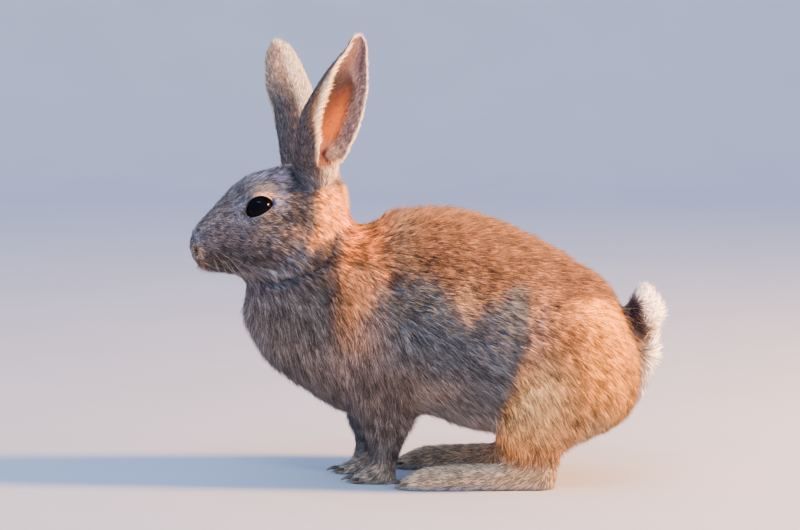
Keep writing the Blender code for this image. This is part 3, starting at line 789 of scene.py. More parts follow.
@dataclass(frozen=True)
class Ear:
    """One ear, a leaf-shaped scoop round a curved spine. Lengths are millimetres."""

    side: Side
    spine: tuple
    opening_deg: float
    half_width: tuple
    depth: tuple
    front_wrap: tuple
    back_wrap: tuple
    wall: float = 1.3
    tip_wall_share: float = 0.4
    floor_z: tuple = (174.0, 188.0)
    steps: int = 7
    arc_points: int = 27

    @classmethod
    def pair(cls) -> list["Ear"]:
        """The left ear, open to the side, and the right one, open to the front."""
        left = cls(
            Side.LEFT,
            ((-64, -5, 164), (-67.4, -6.5, 182), (-62.8, -11, 196), (-57, -16, 210), (-47.8, -23.5, 228),
             (-40.6, -27.3, 243), (-38.7, -29.0, 249.6), (-38.6, -29.8, 252.4)),
            36,
            (8.0, 12.4, 17.0, 19.6, 16.0, 8.2, 5.2, 2.4),
            (8.0, 11.0, 11.5, 11.0, 8.4, 4.8, 2.8, 1.2),
            (165, 162, 148, 134, 116, 86, 76, 70),
            (160, 108, 92, 82, 74, 72, 70, 70),
        )
        right = cls(
            Side.RIGHT,
            ((-66, 5, 164), (-69.2, 7, 182), (-69.6, 11.5, 197), (-72.4, 17, 212), (-77.6, 24, 226),
             (-83.2, 28, 243), (-85.4, 29.5, 249.6)),
            200,
            (8.0, 9.0, 11.0, 12.4, 12.4, 8.4, 2.6),
            (8.0, 8.5, 9.5, 9.0, 7.5, 4.0, 1.2),
            (165, 130, 108, 92, 86, 76, 70),
            (160, 130, 108, 92, 86, 76, 70),
        )
        return [left, right]

    def mesh(self) -> bpy.types.Mesh:
        """The ear's skin.

        Returns:
            A closed mesh with the attributes ear_along (root to tip), ear_across (front to rear
            margin) and ear_inside.
        """
        columns = [self.half_width, self.depth, self.front_wrap, self.back_wrap]
        rows = np.column_stack([np.array(self.spine, float), *[np.array(c, float) for c in columns]])
        dense = smooth_between(rows, self.steps)
        spine = dense[:, :3]
        run = unit(np.gradient(spine, axis=0))
        turn = math.radians(self.opening_deg)
        facing = np.array([math.sin(turn), -math.cos(turn), 0.0])
        steps = np.linspace(0.0, 1.0, self.arc_points)
        low, high = self.floor_z
        rings, along, across, inside, runs, asides = [], [], [], [], [], []
        for k, (half_width, depth, front, back) in enumerate(dense[:, 3:]):
            out = facing - run[k] * (facing @ run[k])
            out /= np.linalg.norm(out)
            aside = np.cross(run[k], out)
            aside *= math.copysign(1.0, aside[0])
            middle = spine[k] + out * depth
            wall = min(self.wall, half_width * self.tip_wall_share) / 2

            def oval(degrees: np.ndarray, inwards: float) -> np.ndarray:
                """Points of the section at angles from its back, moved in by a distance."""
                side_share = np.sin(np.radians(degrees))[:, None]
                back_share = -np.cos(np.radians(degrees))[:, None]
                normal = unit(aside * side_share / half_width + out * back_share / depth)
                return middle + aside * half_width * side_share + out * depth * back_share - normal * inwards

            hollow = float(np.clip((spine[k][2] - low) / (high - low), 0.0, 1.0))
            outside = oval(-front + (front + back) * steps, -wall)
            lining = oval(-front + (front + back) * steps, wall)
            closed = oval(-front - (360 - front - back) * steps, -wall)
            lining = closed * (1 - hollow) + lining * hollow
            ring = np.vstack([outside, lining[::-1]])
            rings.append([Vector(p) * MM for p in ring])
            along += [k / (len(dense) - 1)] * len(ring)
            across += [*steps, *steps[::-1]]
            inside += [0.0] * len(steps) + [hollow] * len(steps)
            runs += [run[k]] * len(ring)
            asides += [aside] * len(ring)
        mesh = ring_mesh("ear_" + self.side.word, rings)
        for name, values in (("ear_along", along), ("ear_across", across), ("ear_inside", inside)):
            store(mesh, name, "FLOAT", np.array(values + [values[0], values[-1]]))
        for name, values in (("ear_run", runs), ("ear_aside", asides)):
            store(mesh, name, "FLOAT_VECTOR", np.array(values + [values[0], values[-1]]))
        return mesh


@dataclass
class EyeSetting:
    """One eye's place and axes on the turned head. Lengths are millimetres."""

    side: Side
    centre: np.ndarray
    radius: float
    half_length: float = 8.2
    height_above: float = 6.9
    height_below: float = 3.3
    drop: float = 1.1
    tilt_deg: float = 26.0
    forward_deg: float = 12.0
    up_deg: float = 8.0
    corner_reach: float = 0.17
    corner_pinch: float = 0.35

    def __post_init__(self) -> None:
        """Works out the gaze and the long and short axes of the opening."""
        ahead, above = math.radians(self.forward_deg), math.radians(self.up_deg)
        look = unit(np.array([-math.sin(ahead), self.side.value, math.sin(above)]))
        back = np.array([1.0, 0.0, 0.0])
        back = unit(back - look * (back @ look))
        up = np.cross(look, back) * -self.side.value
        tilt = math.radians(self.tilt_deg)
        long_axis = back * math.cos(tilt) + up * math.sin(tilt)
        axes = (look, long_axis, up * math.cos(tilt) - back * math.sin(tilt))
        self.gaze, self.long_axis, self.short_axis = (from_head(HEAD_PIVOT + a) - HEAD_PIVOT for a in axes)

    @classmethod
    def read(cls, side: Side) -> "EyeSetting":
        """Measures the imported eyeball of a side."""
        low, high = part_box("eye_" + side.word)
        return cls(side, np.array((low + high) / 2) / MM, max(high - low) / 2 / MM)

    def spread(self, points: np.ndarray) -> tuple[np.ndarray, np.ndarray, np.ndarray]:
        """Where points lie against the opening.

        Args:
            points: (n, 3) places in millimetres.

        Returns:
            How many times the opening's size away from its middle, the distance along the gaze,
            and the distance from the eye's centre.
        """
        away = points - self.centre
        a, b, ahead = away @ self.long_axis, away @ self.short_axis + self.drop, away @ self.gaze
        length, height = self._reach(np.arctan2(b / self.height_above, a / self.half_length))
        share = np.sqrt((a / length) ** 2 + (b / height) ** 2)
        return share, ahead, np.linalg.norm(away, axis=1)

    def _reach(self, angle: np.ndarray) -> tuple[np.ndarray, np.ndarray]:
        """The opening's half length and half height towards an angle: pointed in front, flat below."""
        front = np.maximum(0.0, -np.cos(angle))
        height = np.where(np.sin(angle) > 0, self.height_above, self.height_below)
        height = height * (1 - self.corner_pinch * front**3)
        return self.half_length * (1 + self.corner_reach * front**6), height

    def on_lid(self, angle: float, scale: float, radius: float) -> np.ndarray:
        """A point of a ring round the opening, lying at a radius from the eye's centre."""
        length, height = self._reach(np.array(angle))
        height = height + (self.height_above - height) * min(0.35, scale - 0.9) * 0.6
        aside = self.long_axis * length * math.cos(angle) + self.short_axis * height * math.sin(angle)
        aside = aside * scale - self.short_axis * self.drop
        room = radius**2 - aside @ aside
        ahead = math.sqrt((room + math.sqrt(room**2 + 60.0)) / 2)
        return self.centre + aside + self.gaze * ahead


@dataclass
class Lids:
    """The lids round an eye: a wet dark margin that meets the ball, then pale skin."""

    setting: EyeSetting
    # (scale of the opening, height over the ball in millimetres)
    profile: tuple = (
        (0.90, -0.45), (0.93, 0.1), (0.95, 0.42), (0.98, 0.66), (1.02, 0.82), (1.07, 0.92),
        (1.13, 0.92), (1.21, 0.8), (1.31, 0.5), (1.42, -0.3),
    )
    points: int = 64

    def mesh(self) -> bpy.types.Mesh:
        """A ring with the attribute lid, from 0 at the ball to 1 in the fur."""
        radius = self.setting.radius
        angles = [math.tau * k / self.points for k in range(self.points)]
        rings = []
        for scale, height in self.profile:
            ring = [self.setting.on_lid(angle, scale, radius + height) for angle in angles]
            rings.append([Vector(p) * MM for p in ring])
        mesh = ring_mesh("lids_" + self.setting.side.word, rings, closed_ends=False)
        if (mesh.polygons[0].normal @ Vector(self.setting.gaze)) < 0:
            mesh.flip_normals()
        values = np.repeat(np.linspace(0, 1, len(rings)), self.points)
        store(mesh, "lid", "FLOAT", values)
        return mesh


@dataclass
class SkinFields:
    """The skin's vertices and what the coat needs to know at each of them. Lengths are millimetres."""

    places: np.ndarray
    normals: np.ndarray
    regions: np.ndarray
    ear_along: np.ndarray
    ear_across: np.ndarray
    ear_inside: np.ndarray
    ear_run: np.ndarray
    ear_aside: np.ndarray
    lid: np.ndarray
    nostril: np.ndarray
    lips: np.ndarray
    crease: np.ndarray

    def of(self, region: Region) -> np.ndarray:
        """The share of a region at each vertex."""
        return self.regions[:, region.value]

    def mirrored(self) -> tuple[np.ndarray, np.ndarray]:
        """The places with both sides folded onto one, as they are and on the straight head."""
        folded = [self.places.copy(), to_head(self.places)]
        for places in folded:
            places[:, 1] = np.abs(places[:, 1])
        return folded[0], folded[1]


@dataclass
class Skin:
    """One skin over the whole body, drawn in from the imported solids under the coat. Millimetres."""

    nodes: dict
    eyes: dict
    ears: list
    voxel: float = 1.5
    swell: float = 0.36
    form_rounds: int = 26
    # Where the muzzle and the nose start on the straight head, the lips' height, and the eyes' surround.
    muzzle_from: float = -108
    nose_from: float = -124
    lip_top: float = 138
    eye_margin: float = 7
    lowest: float = 0.25
    # How far behind the eyeball's surface the hidden skin goes, and how far over it the rest stays.
    socket_depth: float = 2.2
    socket_gap: float = 0.35
    socket_share: float = 1.16
    depths: tuple = (
        (Region.HEAD, 2.0), (Region.NECK, 3.8), (Region.TRUNK, 3.8), (Region.THIGH, 3.8),
        (Region.FORELEG, 2.6), (Region.FOREPAW, 1.4), (Region.HIND_FOOT, 1.8), (Region.TAIL, 4.5),
    )
    # The long axis of a nostril on the straight head, and its half sizes.
    nostril_axis: tuple = (0.35, -0.15, -0.95)
    nostril_half: tuple = (3.0, 1.9)
    nostril_depth: float = 4.6
    nostril_rim: float = 0.38
    # Lines pressed into the face: (points, half width, depth), on the straight head's left side.
    creases: tuple = (
        (((-133.5, 0.0, 131.0), (-132.5, 0.0, 127.0), (-130.5, 0.0, 124.0)), 0.9, 1.3),
        (((-130.8, 0.0, 124.4), (-129.0, -5.0, 123.2), (-124.0, -10.0, 121.4), (-117.0, -12.0, 119.6)),
         0.9, 1.2),
        (((-117.7, -15.5, 134.9), (-114.5, -16.2, 132.0), (-112.2, -16.3, 129.0)), 1.0, 0.7),
        (((-104.0, -18.4, 129.3), (-105.5, -17.0, 126.5), (-107.0, -14.8, 124.0)), 1.1, 0.7),
        (((-96.6, -13.5, 112.3), (-75.3, -24.0, 119.7), (-61.2, -26.2, 127.7), (-50.0, -28.0, 145.0)),
         2.2, 2.2),
        (((-109.0, -8.0, 165.5), (-103.0, -11.0, 170.0), (-95.0, -12.5, 173.0), (-84.0, -15.0, 172.5)),
         0.8, 0.4),
        (((-132.9, -9.6, 134.5), (-130.6, -11.6, 133.0), (-129.3, -10.8, 129.0), (-128.8, -8.5, 125.5)),
         0.8, -0.6),
    )

    def build(self) -> tuple[bpy.types.Object, SkinFields]:
        """Makes the skin.

        Returns:
            The skin's object, and its fields for the markings and the coat.
        """
        obj = self._form()
        mesh = obj.data
        surface = Surface(mesh)
        places = surface.places / MM
        regions = self._regions(places)
        head = regions[:, Region.HEAD.value]
        feet = regions[:, [Region.FOREPAW.value, Region.HIND_FOOT.value]].sum(axis=1)
        body_share = 0.5 * np.clip(1 - head * 0.75 - feet * 0.8, 0.0, 1.0)
        places = surface.smoothed(places, self.form_rounds, surface.smoothed(body_share, 10))
        places = surface.smoothed(places, 3, 0.5)
        regions = surface.smoothed(regions, 12)
        set_coordinates(mesh, places * MM)
        normals = unit(surface.smoothed(vertex_normals(mesh), 5))
        places = places - normals * self._depth(surface, places, regions)[:, None]
        places = surface.smoothed(places, 2, 0.35)
        places[:, 2] = np.maximum(places[:, 2], self.lowest)
        nostril, lips, crease, places = self._carve(places, normals)
        for eye in self.eyes.values():
            places = self._socket(eye, places)
        set_coordinates(mesh, places * MM)
        ears = [ear.mesh() for ear in self.ears]
        lids = [Lids(eye).mesh() for eye in self.eyes.values()]
        pieces = [mesh, *ears, *lids]
        self._join(obj, pieces)
        return obj, self._fields(obj, pieces, regions, nostril, lips, crease)

    def _form(self) -> bpy.types.Object:
        """The outer form of everything but the ears, as one closed mesh of even quads."""
        bm = bmesh.new()
        for name, node in self.nodes.items():
            if name.startswith("ear"):
                continue
            part = bmesh.new()
            part.from_mesh(node.data)
            bmesh.ops.remove_doubles(part, verts=part.verts, dist=1e-6)
            bmesh.ops.recalc_face_normals(part, faces=part.faces)
            part.normal_update()
            if not name.startswith("eye"):
                for v in part.verts:
                    v.co += v.normal * self.swell * MM
            if name.startswith(("forepaw", "hind_foot")):
                Claws.draw_in(part, name)
            loose = bpy.data.meshes.new("loose")
            part.to_mesh(loose)
            part.free()
            bm.from_mesh(loose)
            bpy.data.meshes.remove(loose)
        mesh = bpy.data.meshes.new("skin")
        bm.to_mesh(mesh)
        bm.free()
        obj = object_of("skin", mesh)
        remesh = obj.modifiers.new("even", "REMESH")
        remesh.mode = "VOXEL"
        remesh.voxel_size = self.voxel * MM
        applied(obj)
        bm = bmesh.new()
        bm.from_mesh(obj.data)
        self._keep_outer(bm)
        self._refine(bm)
        bm.to_mesh(obj.data)
        bm.free()
        obj.data.shade_smooth()
        return obj

    def _keep_outer(self, bm: bmesh.types.BMesh) -> None:
        """Deletes everything but the largest connected shell."""
        seen = set()
        shells = []
        for start in bm.verts:
            if start in seen:
                continue
            seen.add(start)
            stack, shell = [start], [start]
            while stack:
                for edge in stack.pop().link_edges:
                    for v in edge.verts:
                        if v not in seen:
                            seen.add(v)
                            stack.append(v)
                            shell.append(v)
            shells.append(shell)
        shells.sort(key=len, reverse=True)
        inner = [v for shell in shells[1:] for v in shell]
        bmesh.ops.delete(bm, geom=inner, context="VERTS")

    def _refine(self, bm: bmesh.types.BMesh) -> None:
        """Splits the faces of the muzzle and round the eyes once, and those of the nose and lips again."""
        for nose_only in (False, True):
            places = np.array([v.co for v in bm.verts]) / MM
            straight = to_head(places)
            if nose_only:
                near = (straight[:, 0] < self.nose_from) & (straight[:, 2] < self.lip_top)
            else:
                near = straight[:, 0] < self.muzzle_from
                for eye in self.eyes.values():
                    near |= np.linalg.norm(places - eye.centre, axis=1) < eye.radius + self.eye_margin
            picked = {e for v, close in zip(bm.verts, near) if close for e in v.link_edges}
            bmesh.ops.subdivide_edges(bm, edges=list(picked), cuts=1, use_grid_fill=True)

    def _regions(self, places: np.ndarray) -> np.ndarray:
        """Which region each vertex belongs to, as shares."""
        corners, faces, owners = [], [], []
        for name, node in self.nodes.items():
            if name.startswith(("eye", "ear")):
                continue
            base = len(corners)
            corners += [v.co / MM for v in node.data.vertices]
            for polygon in node.data.polygons:
                faces.append([base + i for i in polygon.vertices])
                owners.append(Region.of_node(name).value)
        tree = BVHTree.FromPolygons(corners, faces)
        shares = np.zeros((len(places), len(Region)))
        for i, place in enumerate(places):
            shares[i, owners[tree.find_nearest(place)[2]]] = 1.0
        return shares

    def _depth(self, surface: Surface, places: np.ndarray, regions: np.ndarray) -> np.ndarray:
        """How deep the skin lies under the coat's outline at each vertex."""
        depth = np.zeros(len(places))
        for region, value in self.depths:
            depth += regions[:, region.value] * value
        depth = surface.smoothed(depth, 40)
        straight = to_head(places)
        face = regions[:, Region.HEAD.value]
        depth -= face * depth * (1 - smoothstep(-134, -100, straight[:, 0])) * 0.55
        jaw = blob(straight * [1, 0, 1], (-78, 0, 125), (18, 90, 12))
        depth += face * jaw * 1.4
        for eye in self.eyes.values():
            near = np.linalg.norm(places - eye.centre, axis=1)
            depth *= 1 - 0.7 * smoothstep(eye.radius + 9, eye.radius + 2, near)
        depth *= 0.12 + 0.88 * smoothstep(0.5, 6.0, places[:, 2])
        return surface.smoothed(depth, 3)

    def _carve(self, places: np.ndarray, normals: np.ndarray) -> tuple:
        """Presses the nostrils, the lips and the creases of the face into the skin.

        Args:
            places: (n, 3) vertex places.
            normals: (n, 3) vertex normals.

        Returns:
            Weights of the nostrils, lips and creases at the vertices, and the new places.
        """
        straight = to_head(places)
        straight[:, 1] = -np.abs(straight[:, 1])

        def on_skin(point: tuple) -> np.ndarray:
            """The skin's vertex nearest to a place."""
            return straight[np.linalg.norm(straight - np.array(point), axis=1).argmin()]

        centre = on_skin(NOSTRIL)
        axis = unit(np.array(self.nostril_axis))
        away = straight - centre
        lengthways = away @ axis
        across = away - axis * lengthways[:, None]
        half_length, half_width = self.nostril_half
        # A comma: the slit narrows and curls back towards its lower end.
        curl = np.array([0.9, -0.2, 0.1]) * 0.05
        across -= curl * (lengthways[:, None] ** 2)
        width = half_width * np.clip(1.15 - 0.22 * lengthways, 0.5, 1.5)
        distance = np.sqrt((lengthways / half_length) ** 2 + (np.linalg.norm(across, axis=1) / width) ** 2)
        nostril = smoothstep(1.1, 0.75, distance)
        rim = np.exp(-((distance - 1.45) / 0.38) ** 2)
        move = rim * self.nostril_rim - nostril * self.nostril_depth
        lips, crease = np.zeros((2, len(places)))
        for k, (points, half_width, depth) in enumerate(self.creases):
            nearest = np.full(len(places), 1e9)
            dense = smooth_between(np.array([on_skin(point) for point in points]), 6)
            for a, b in zip(dense, dense[1:]):
                run = b - a
                t = np.clip(((straight - a) @ run) / (run @ run), 0, 1)
                nearest = np.minimum(nearest, np.linalg.norm(straight - a - t[:, None] * run, axis=1))
            line = np.exp(-((nearest / half_width) ** 2))
            move -= line * depth * (1 - nostril)
            if k < 2:
                lips = np.maximum(lips, line)
            elif depth > 0:
                crease = np.maximum(crease, line)
        return nostril, lips, crease, places + normals * move[:, None]

    def _socket(self, eye: EyeSetting, places: np.ndarray) -> np.ndarray:
        """Opens the skin over an eyeball and lays it closely round it."""
        share, ahead, distance = eye.spread(places)
        away = unit(places - eye.centre)
        front = ahead > 0.5
        under = front & (share < self.socket_share) & (distance < eye.radius + 6)
        around = front & (share >= self.socket_share) & (distance < eye.radius + self.socket_gap)
        out = places.copy()
        out[under] = eye.centre + away[under] * (eye.radius - self.socket_depth)
        out[around] = eye.centre + away[around] * (eye.radius + self.socket_gap)
        return out

    def _join(self, obj: bpy.types.Object, pieces: list) -> None:
        """Puts the ears and the lids into the skin's mesh, and unwraps it."""
        obj.data = joined_meshes("skin", pieces)
        bpy.context.view_layer.objects.active = obj
        obj.select_set(True)
        bpy.ops.object.mode_set(mode="EDIT")
        bpy.ops.mesh.select_all(action="SELECT")
        bpy.ops.uv.smart_project(angle_limit=math.radians(66), island_margin=0.001)
        bpy.ops.object.mode_set(mode="OBJECT")
        obj.select_set(False)
        obj.data.uv_layers[0].name = UV_NAME

    def _fields(self, obj: bpy.types.Object, pieces: list, regions: np.ndarray, nostril: np.ndarray,
                lips: np.ndarray, crease: np.ndarray) -> SkinFields:
        """Gathers the fields of the joined mesh."""
        mesh = obj.data
        count = len(mesh.vertices)
        all_regions = np.zeros((count, len(Region)))
        all_regions[: len(regions)] = regions
        start = len(regions)
        for piece in pieces[1:]:
            size = len(piece.vertices)
            region = Region.EAR if piece.name.startswith("ear") else Region.HEAD
            all_regions[start : start + size, region.value] = 1.0
            start += size

        def read(name: str, missing: float) -> np.ndarray:
            """A float attribute of the joined mesh, or a constant where it isn't there."""
            found = mesh.attributes.get(name)
            values = np.full(count, missing, np.float32)
            if found is not None:
                found.data.foreach_get("value", values)
            return values.astype(float)

        def arrows(name: str) -> np.ndarray:
            """A vector attribute of the joined mesh."""
            return vectors(mesh.attributes[name].data, "vector")

        def padded(values: np.ndarray) -> np.ndarray:
            """Values of the body's vertices, with zeros for the rest."""
            out = np.zeros(count)
            out[: len(values)] = values
            return out

        lid = read("lid", 0.0)
        lid[: sum(len(p.vertices) for p in pieces[: 1 + len(self.ears)])] = -1.0
        return SkinFields(
            coordinates(mesh) / MM, vertex_normals(mesh), all_regions,
            *(read("ear_" + name, 0.0) for name in ("along", "across", "inside")),
            arrows("ear_run"), arrows("ear_aside"), lid, *map(padded, (nostril, lips, crease)),
        )


@dataclass(frozen=True)
class Foot:
    """The toes of one kind of foot: (x, y, radius, length) from the foot's middle. Millimetres."""

    node: str
    toes: tuple
    spread: float
    right_lead: float
    claw: float

    @classmethod
    def kinds(cls) -> list["Foot"]:
        """The forepaws and the hind feet."""
        fore = cls._toes(((-36.5, 5.4, 3.0, 8.0), (-39.0, 1.9, 3.2, 9.0)))
        hind = cls._toes(((-6.0, 7.4, 3.7, 12.0), (-10.5, 2.5, 4.0, 13.0)))
        return [cls("forepaw", fore, 17.0, -9.0, 4.5), cls("hind_foot", hind, 37.0, -3.0, 5.5)]

    @staticmethod
    def _toes(half: tuple) -> tuple:
        """All four toes from the two of one half, the outer first."""
        return (*((x, -y, *rest) for x, y, *rest in half), *reversed(half))

    def toe_tips(self, side: Side) -> list:
        """The front end and the radius of each toe of a side."""
        lead = self.right_lead if side is Side.RIGHT else 0.0
        middle = side.value * self.spread
        return [(x - length / 2 + lead, middle + y, radius) for x, y, radius, length in self.toes]


@dataclass
class Claws:
    """The claws of a foot: curved, tapering horn that starts in the toe."""

    foot: Foot
    side: Side
    radius: float = 1.05
    rings: int = 7
    sides: int = 8

    @staticmethod
    def draw_in(bm: bmesh.types.BMesh, node: str) -> None:
        """Draws the claws of a foot's mesh back into its toes."""
        side = Side.LEFT if node.endswith("left") else Side.RIGHT
        foot = next(f for f in Foot.kinds() if node.startswith(f.node))
        for v in bm.verts:
            tip, y, _ = min(foot.toe_tips(side), key=lambda toe: abs(toe[1] - v.co.y / MM))
            front = tip - 0.2
            if front - v.co.x / MM > 0:
                v.co.x = front * MM
                v.co.y += (y * MM - v.co.y) * 0.3

    def mesh(self) -> bpy.types.Mesh:
        """The foot's claws, with the attribute along from root to tip."""
        pieces = []
        for tip, y, toe_radius in self.foot.toe_tips(self.side):
            rings = []
            length = self.foot.claw + 3.0
            for k in range(self.rings):
                share = k / (self.rings - 1)
                radius = self.radius * (1 - 0.82 * share**1.3)
                arch = 0.9 * math.sin(math.pi * share) - 1.1 * share
                centre = np.array([tip + 3.0 - length * share, y, toe_radius * 0.85 + arch])
                wide, tall = np.array([0, radius * 0.8, 0]), np.array([0, 0, radius * 1.1])
                rings.append(circle(centre, wide, tall, self.sides))
            pieces.append(tapered_mesh("claw", rings))
        return joined_meshes(f"claws_{self.foot.node}_{self.side.word}", pieces)


@dataclass
class Eyeball:
    """An eyeball with a slightly raised cornea."""

    setting: EyeSetting
    cornea: float = 0.35
    rings: int = 40
    segments: int = 56

    def mesh(self) -> bpy.types.Mesh:
        """The ball, with the attribute off_axis from 0 at the gaze to 1 at the side."""
        s = self.setting
        rings, values = [], []
        for k in range(1, self.rings):
            polar = math.pi * k / self.rings
            radius = s.radius - 0.1 + self.cornea * math.exp(-((polar / 0.75) ** 4))
            middle = s.centre + s.gaze * math.cos(polar) * radius
            rings.append(circle(middle, s.long_axis, s.short_axis, self.segments, radius * math.sin(polar)))
            values += [polar / (math.pi / 2)] * self.segments
        mesh = ring_mesh("eyeball_" + s.side.word, rings)
        store(mesh, "off_axis", "FLOAT", np.array(values + [0.0, 2.0]))
        return mesh


@dataclass
class Markings:
    """The colours of the coat and the length, lift and thickness of its hair over the skin. Millimetres."""

    palette: Palette = field(default_factory=Palette)
    # The upper edge of the painted shade on the flank, as (x, z) from front to rear.
    flank_shade_edge: tuple = (
        (-26, 114), (-10, 121), (2, 118), (10, 107), (18, 94), (28, 103), (36, 105), (42, 113), (48, 113),
    )
    # (region, hair length and width, lift from the skin in degrees)
    coats: tuple = (
        (Region.HEAD, 5.0, 0.5, 26), (Region.NECK, 11.0, 0.6, 32), (Region.TRUNK, 11.0, 0.6, 30),
        (Region.THIGH, 10.5, 0.6, 31), (Region.FORELEG, 7.0, 0.46, 28), (Region.FOREPAW, 3.6, 0.36, 26),
        (Region.HIND_FOOT, 4.6, 0.42, 26), (Region.TAIL, 14.0, 0.6, 26), (Region.EAR, 2.8, 0.28, 20),
    )

    def colours(self, f: SkinFields) -> dict:
        """What each vertex of the skin shows.

        Args:
            f: the skin's fields.

        Returns:
            Arrays for the attributes coat_colour, ticking, bare and wet.
        """
        p = self.palette
        count = len(f.places)
        colour = np.tile(np.array(p.back), (count, 1))
        ticking = np.full(count, 0.9)
        at, head = f.mirrored()
        x, _, z = at.T
        hx, _, hz = head.T

        def paint(tone: tuple, weight: np.ndarray, tick: float | None = None) -> None:
            """Lays a tone over the colours by weight."""
            share = np.clip(weight, 0.0, 1.0)
            colour[:] += (np.array(tone) - colour) * share[:, None]
            if tick is not None:
                ticking[:] += (tick - ticking) * share

        def spot(tone: tuple, centre: tuple, radii: tuple, weight: np.ndarray, tick: float | None = None,
                 on: np.ndarray = at) -> None:
            """Lays a soft spot of a tone by weight."""
            paint(tone, blob(on, centre, radii) * weight, tick)

        trunk = f.of(Region.TRUNK) + f.of(Region.NECK)
        thigh = f.of(Region.THIGH)
        body = trunk + thigh
        paint(p.withers, smoothstep(-2, -18, x) * trunk)
        paint(p.chest, smoothstep(-50, -60, x + (z - 100) * 0.1) * trunk, 0.8)
        paint(p.chest_front, smoothstep(-60, -72, x) * smoothstep(98, 107, z) * trunk * 0.7, 0.8)
        # The rufous nape, partly painted sun.
        nape = smoothstep(-21, -36, x) * smoothstep(-53, -47, x) * smoothstep(112, 124, z)
        paint(p.rufous, nape * trunk * 0.95, 0.5)
        # Painted light: the shoulder is painted in sun; its rear edge slopes forwards on the way down.
        edge = -29 - (116 - z) * 0.35
        shoulder = smoothstep(-56, -43, x) * smoothstep(5, -7, x - edge)
        paint(p.shoulder, shoulder * smoothstep(86, 104, z) * smoothstep(134, 122, z) * trunk, 0.5)
        # Painted shade: the flank grey in shadow under a wavy upper edge, with a lit wedge of painted sun in
        # front of the thigh.
        top = np.interp(x, *np.transpose(self.flank_shade_edge))
        back_edge = 52.5 - 5 * smoothstep(86, 70, z) - 8 * smoothstep(62, 50, z)
        spot(p.flank_lit, (18, 40, 101), (11, 50, 16), body * 0.9, 0.7)
        flank_shade_mask = smoothstep(8, -9, z - top) * smoothstep(-6, 8, x - edge) * smoothstep(4, -6, x - back_edge)
        paint(p.flank, flank_shade_mask * trunk, 0.6)
        paint(p.chest_low, smoothstep(84, 66, z) * smoothstep(4, -12, x) * trunk * 0.85, 0.7)
        breast = smoothstep(-80, -93, x) * smoothstep(66, 78, z) * smoothstep(110, 100, z)
        paint(p.chest_front, breast * trunk * 0.8, 0.7)
        # Two pale spots of painted sun on the shoulder, then four spots of the arm's tone.
        for tone, centre, radii, strength, tick in (
            (p.shoulder_pale, (-39, 30, 89), (10, 30, 11), 0.85, 0.5),
            (p.shoulder_pale, (-31, 30, 112), (5, 30, 12), 0.5, 0.5),
            (p.arm, (-47, 30, 74), (10, 30, 12), 0.9, 0.6),
            (p.arm, (12, 30, 62), (14, 30, 10), 0.4, 0.6),
            (p.arm, (-28, 30, 86), (8, 30, 12), 0.5, 0.6),
            (p.arm, (0, 30, 57), (16, 30, 9), 0.7, 0.5),
        ):
            spot(tone, centre, radii, trunk * strength, tick)
        paint(p.belly, smoothstep(50, 36, z) * smoothstep(-30, 0, x) * trunk, 0.25)
        paint(p.rump, smoothstep(74, 96, x) * smoothstep(114, 92, z) * body, 0.7)
        # Painted light and shade on the haunch behind the flank's shadow: a lit front edge, a shaded spot,
        # and the pale front of the thigh partly painted in sun.
        behind_flank = smoothstep(-5, 6, x - back_edge)
        paint(p.haunch, thigh * smoothstep(118, 104, z) * behind_flank * 0.95, 0.7)
        spot(p.haunch_high, (56, 50, 92), (11, 50, 24), body * behind_flank, 0.7)
        spot(p.haunch_shade, (74, 50, 92), (10, 50, 9), body * 0.9, 0.7)
        spot(p.thigh_pale, (60, 50, 54), (19, 50, 21), thigh * 1.1, 0.45)
        paint(p.rump, smoothstep(78, 92, x) * thigh, 0.7)
        spot(p.rump_low, (92, 45, 38), (13, 50, 17), body, 0.6)
        # Painted shade: the rear of the flank's shadow, bluer, in front of the thigh.
        paint(p.groin, flank_shade_mask * smoothstep(18, 28, x) * smoothstep(66, 90, z) * body * 0.9, 0.6)
        leg = f.of(Region.FORELEG) + f.of(Region.FOREPAW)
        paint(p.leg, leg, 0.55)
        paint(p.belly, leg * smoothstep(-17, -8, x) * 0.5)
        paint(p.leg, trunk * smoothstep(60, 40, z) * smoothstep(0, -18, x) * 0.7, 0.6)
        paint(p.foot, f.of(Region.HIND_FOOT), 0.35)
        paint(p.foot, f.of(Region.FOREPAW) * 0.5, 0.35)
        paint(p.belly, f.of(Region.HIND_FOOT) * smoothstep(5.0, 2.0, z) * 0.7, 0.1)
        tail = f.of(Region.TAIL)
        paint(p.tail_white, tail, 0.0)
        paint(p.tail_blush, tail * smoothstep(121, 117, x) * smoothstep(94, 100, z), 0.0)
        mix = smoothstep(124, 119.5, x) * smoothstep(102, 95, z) * smoothstep(54, 66, z)
        paint(p.tail_mix, tail * mix * 0.9)
        dark = smoothstep(121.5, 117.5, x) * smoothstep(104, 98, z) * smoothstep(60, 70, z)
        paint(p.tail_dark, tail * dark * 1.3)
        self._face(f, paint, spot, head)
        self._ears(f, paint)
        # Painted shade: the insides of the nostrils nearly black, and the lip lines and the creases of the
        # face darkened.
        paint(p.nostril, smoothstep(0.2, 0.5, f.nostril), 0.0)
        paint(p.dark, f.lips * 0.8, 0.0)
        paint(p.dark, f.crease * 0.6)
        lid = np.clip(f.lid, 0, 1)
        is_lid = f.lid >= 0
        edge = is_lid * smoothstep(0.68, 0.58, lid)
        paint(p.face, edge, 0.0)
        paint(p.pale, edge * smoothstep(156, 152, hz) * 0.8)
        paint(p.cream, edge * smoothstep(157, 162, hz) * smoothstep(-103, -97, hx))
        paint(p.behind_eye, edge * smoothstep(-91, -86, hx) * smoothstep(164, 160, hz))
        paint(p.lid_margin, is_lid * smoothstep(0.53, 0.45, lid), 0.0)
        bare = np.clip(is_lid * smoothstep(0.68, 0.58, lid) + f.nostril + self._bare_ear(f), 0, 1)
        wet = np.clip(is_lid * smoothstep(0.5, 0.25, lid), 0, 1)
        return {"coat_colour": np.clip(colour, 0, 1), "ticking": ticking, "bare": bare, "wet": wet}

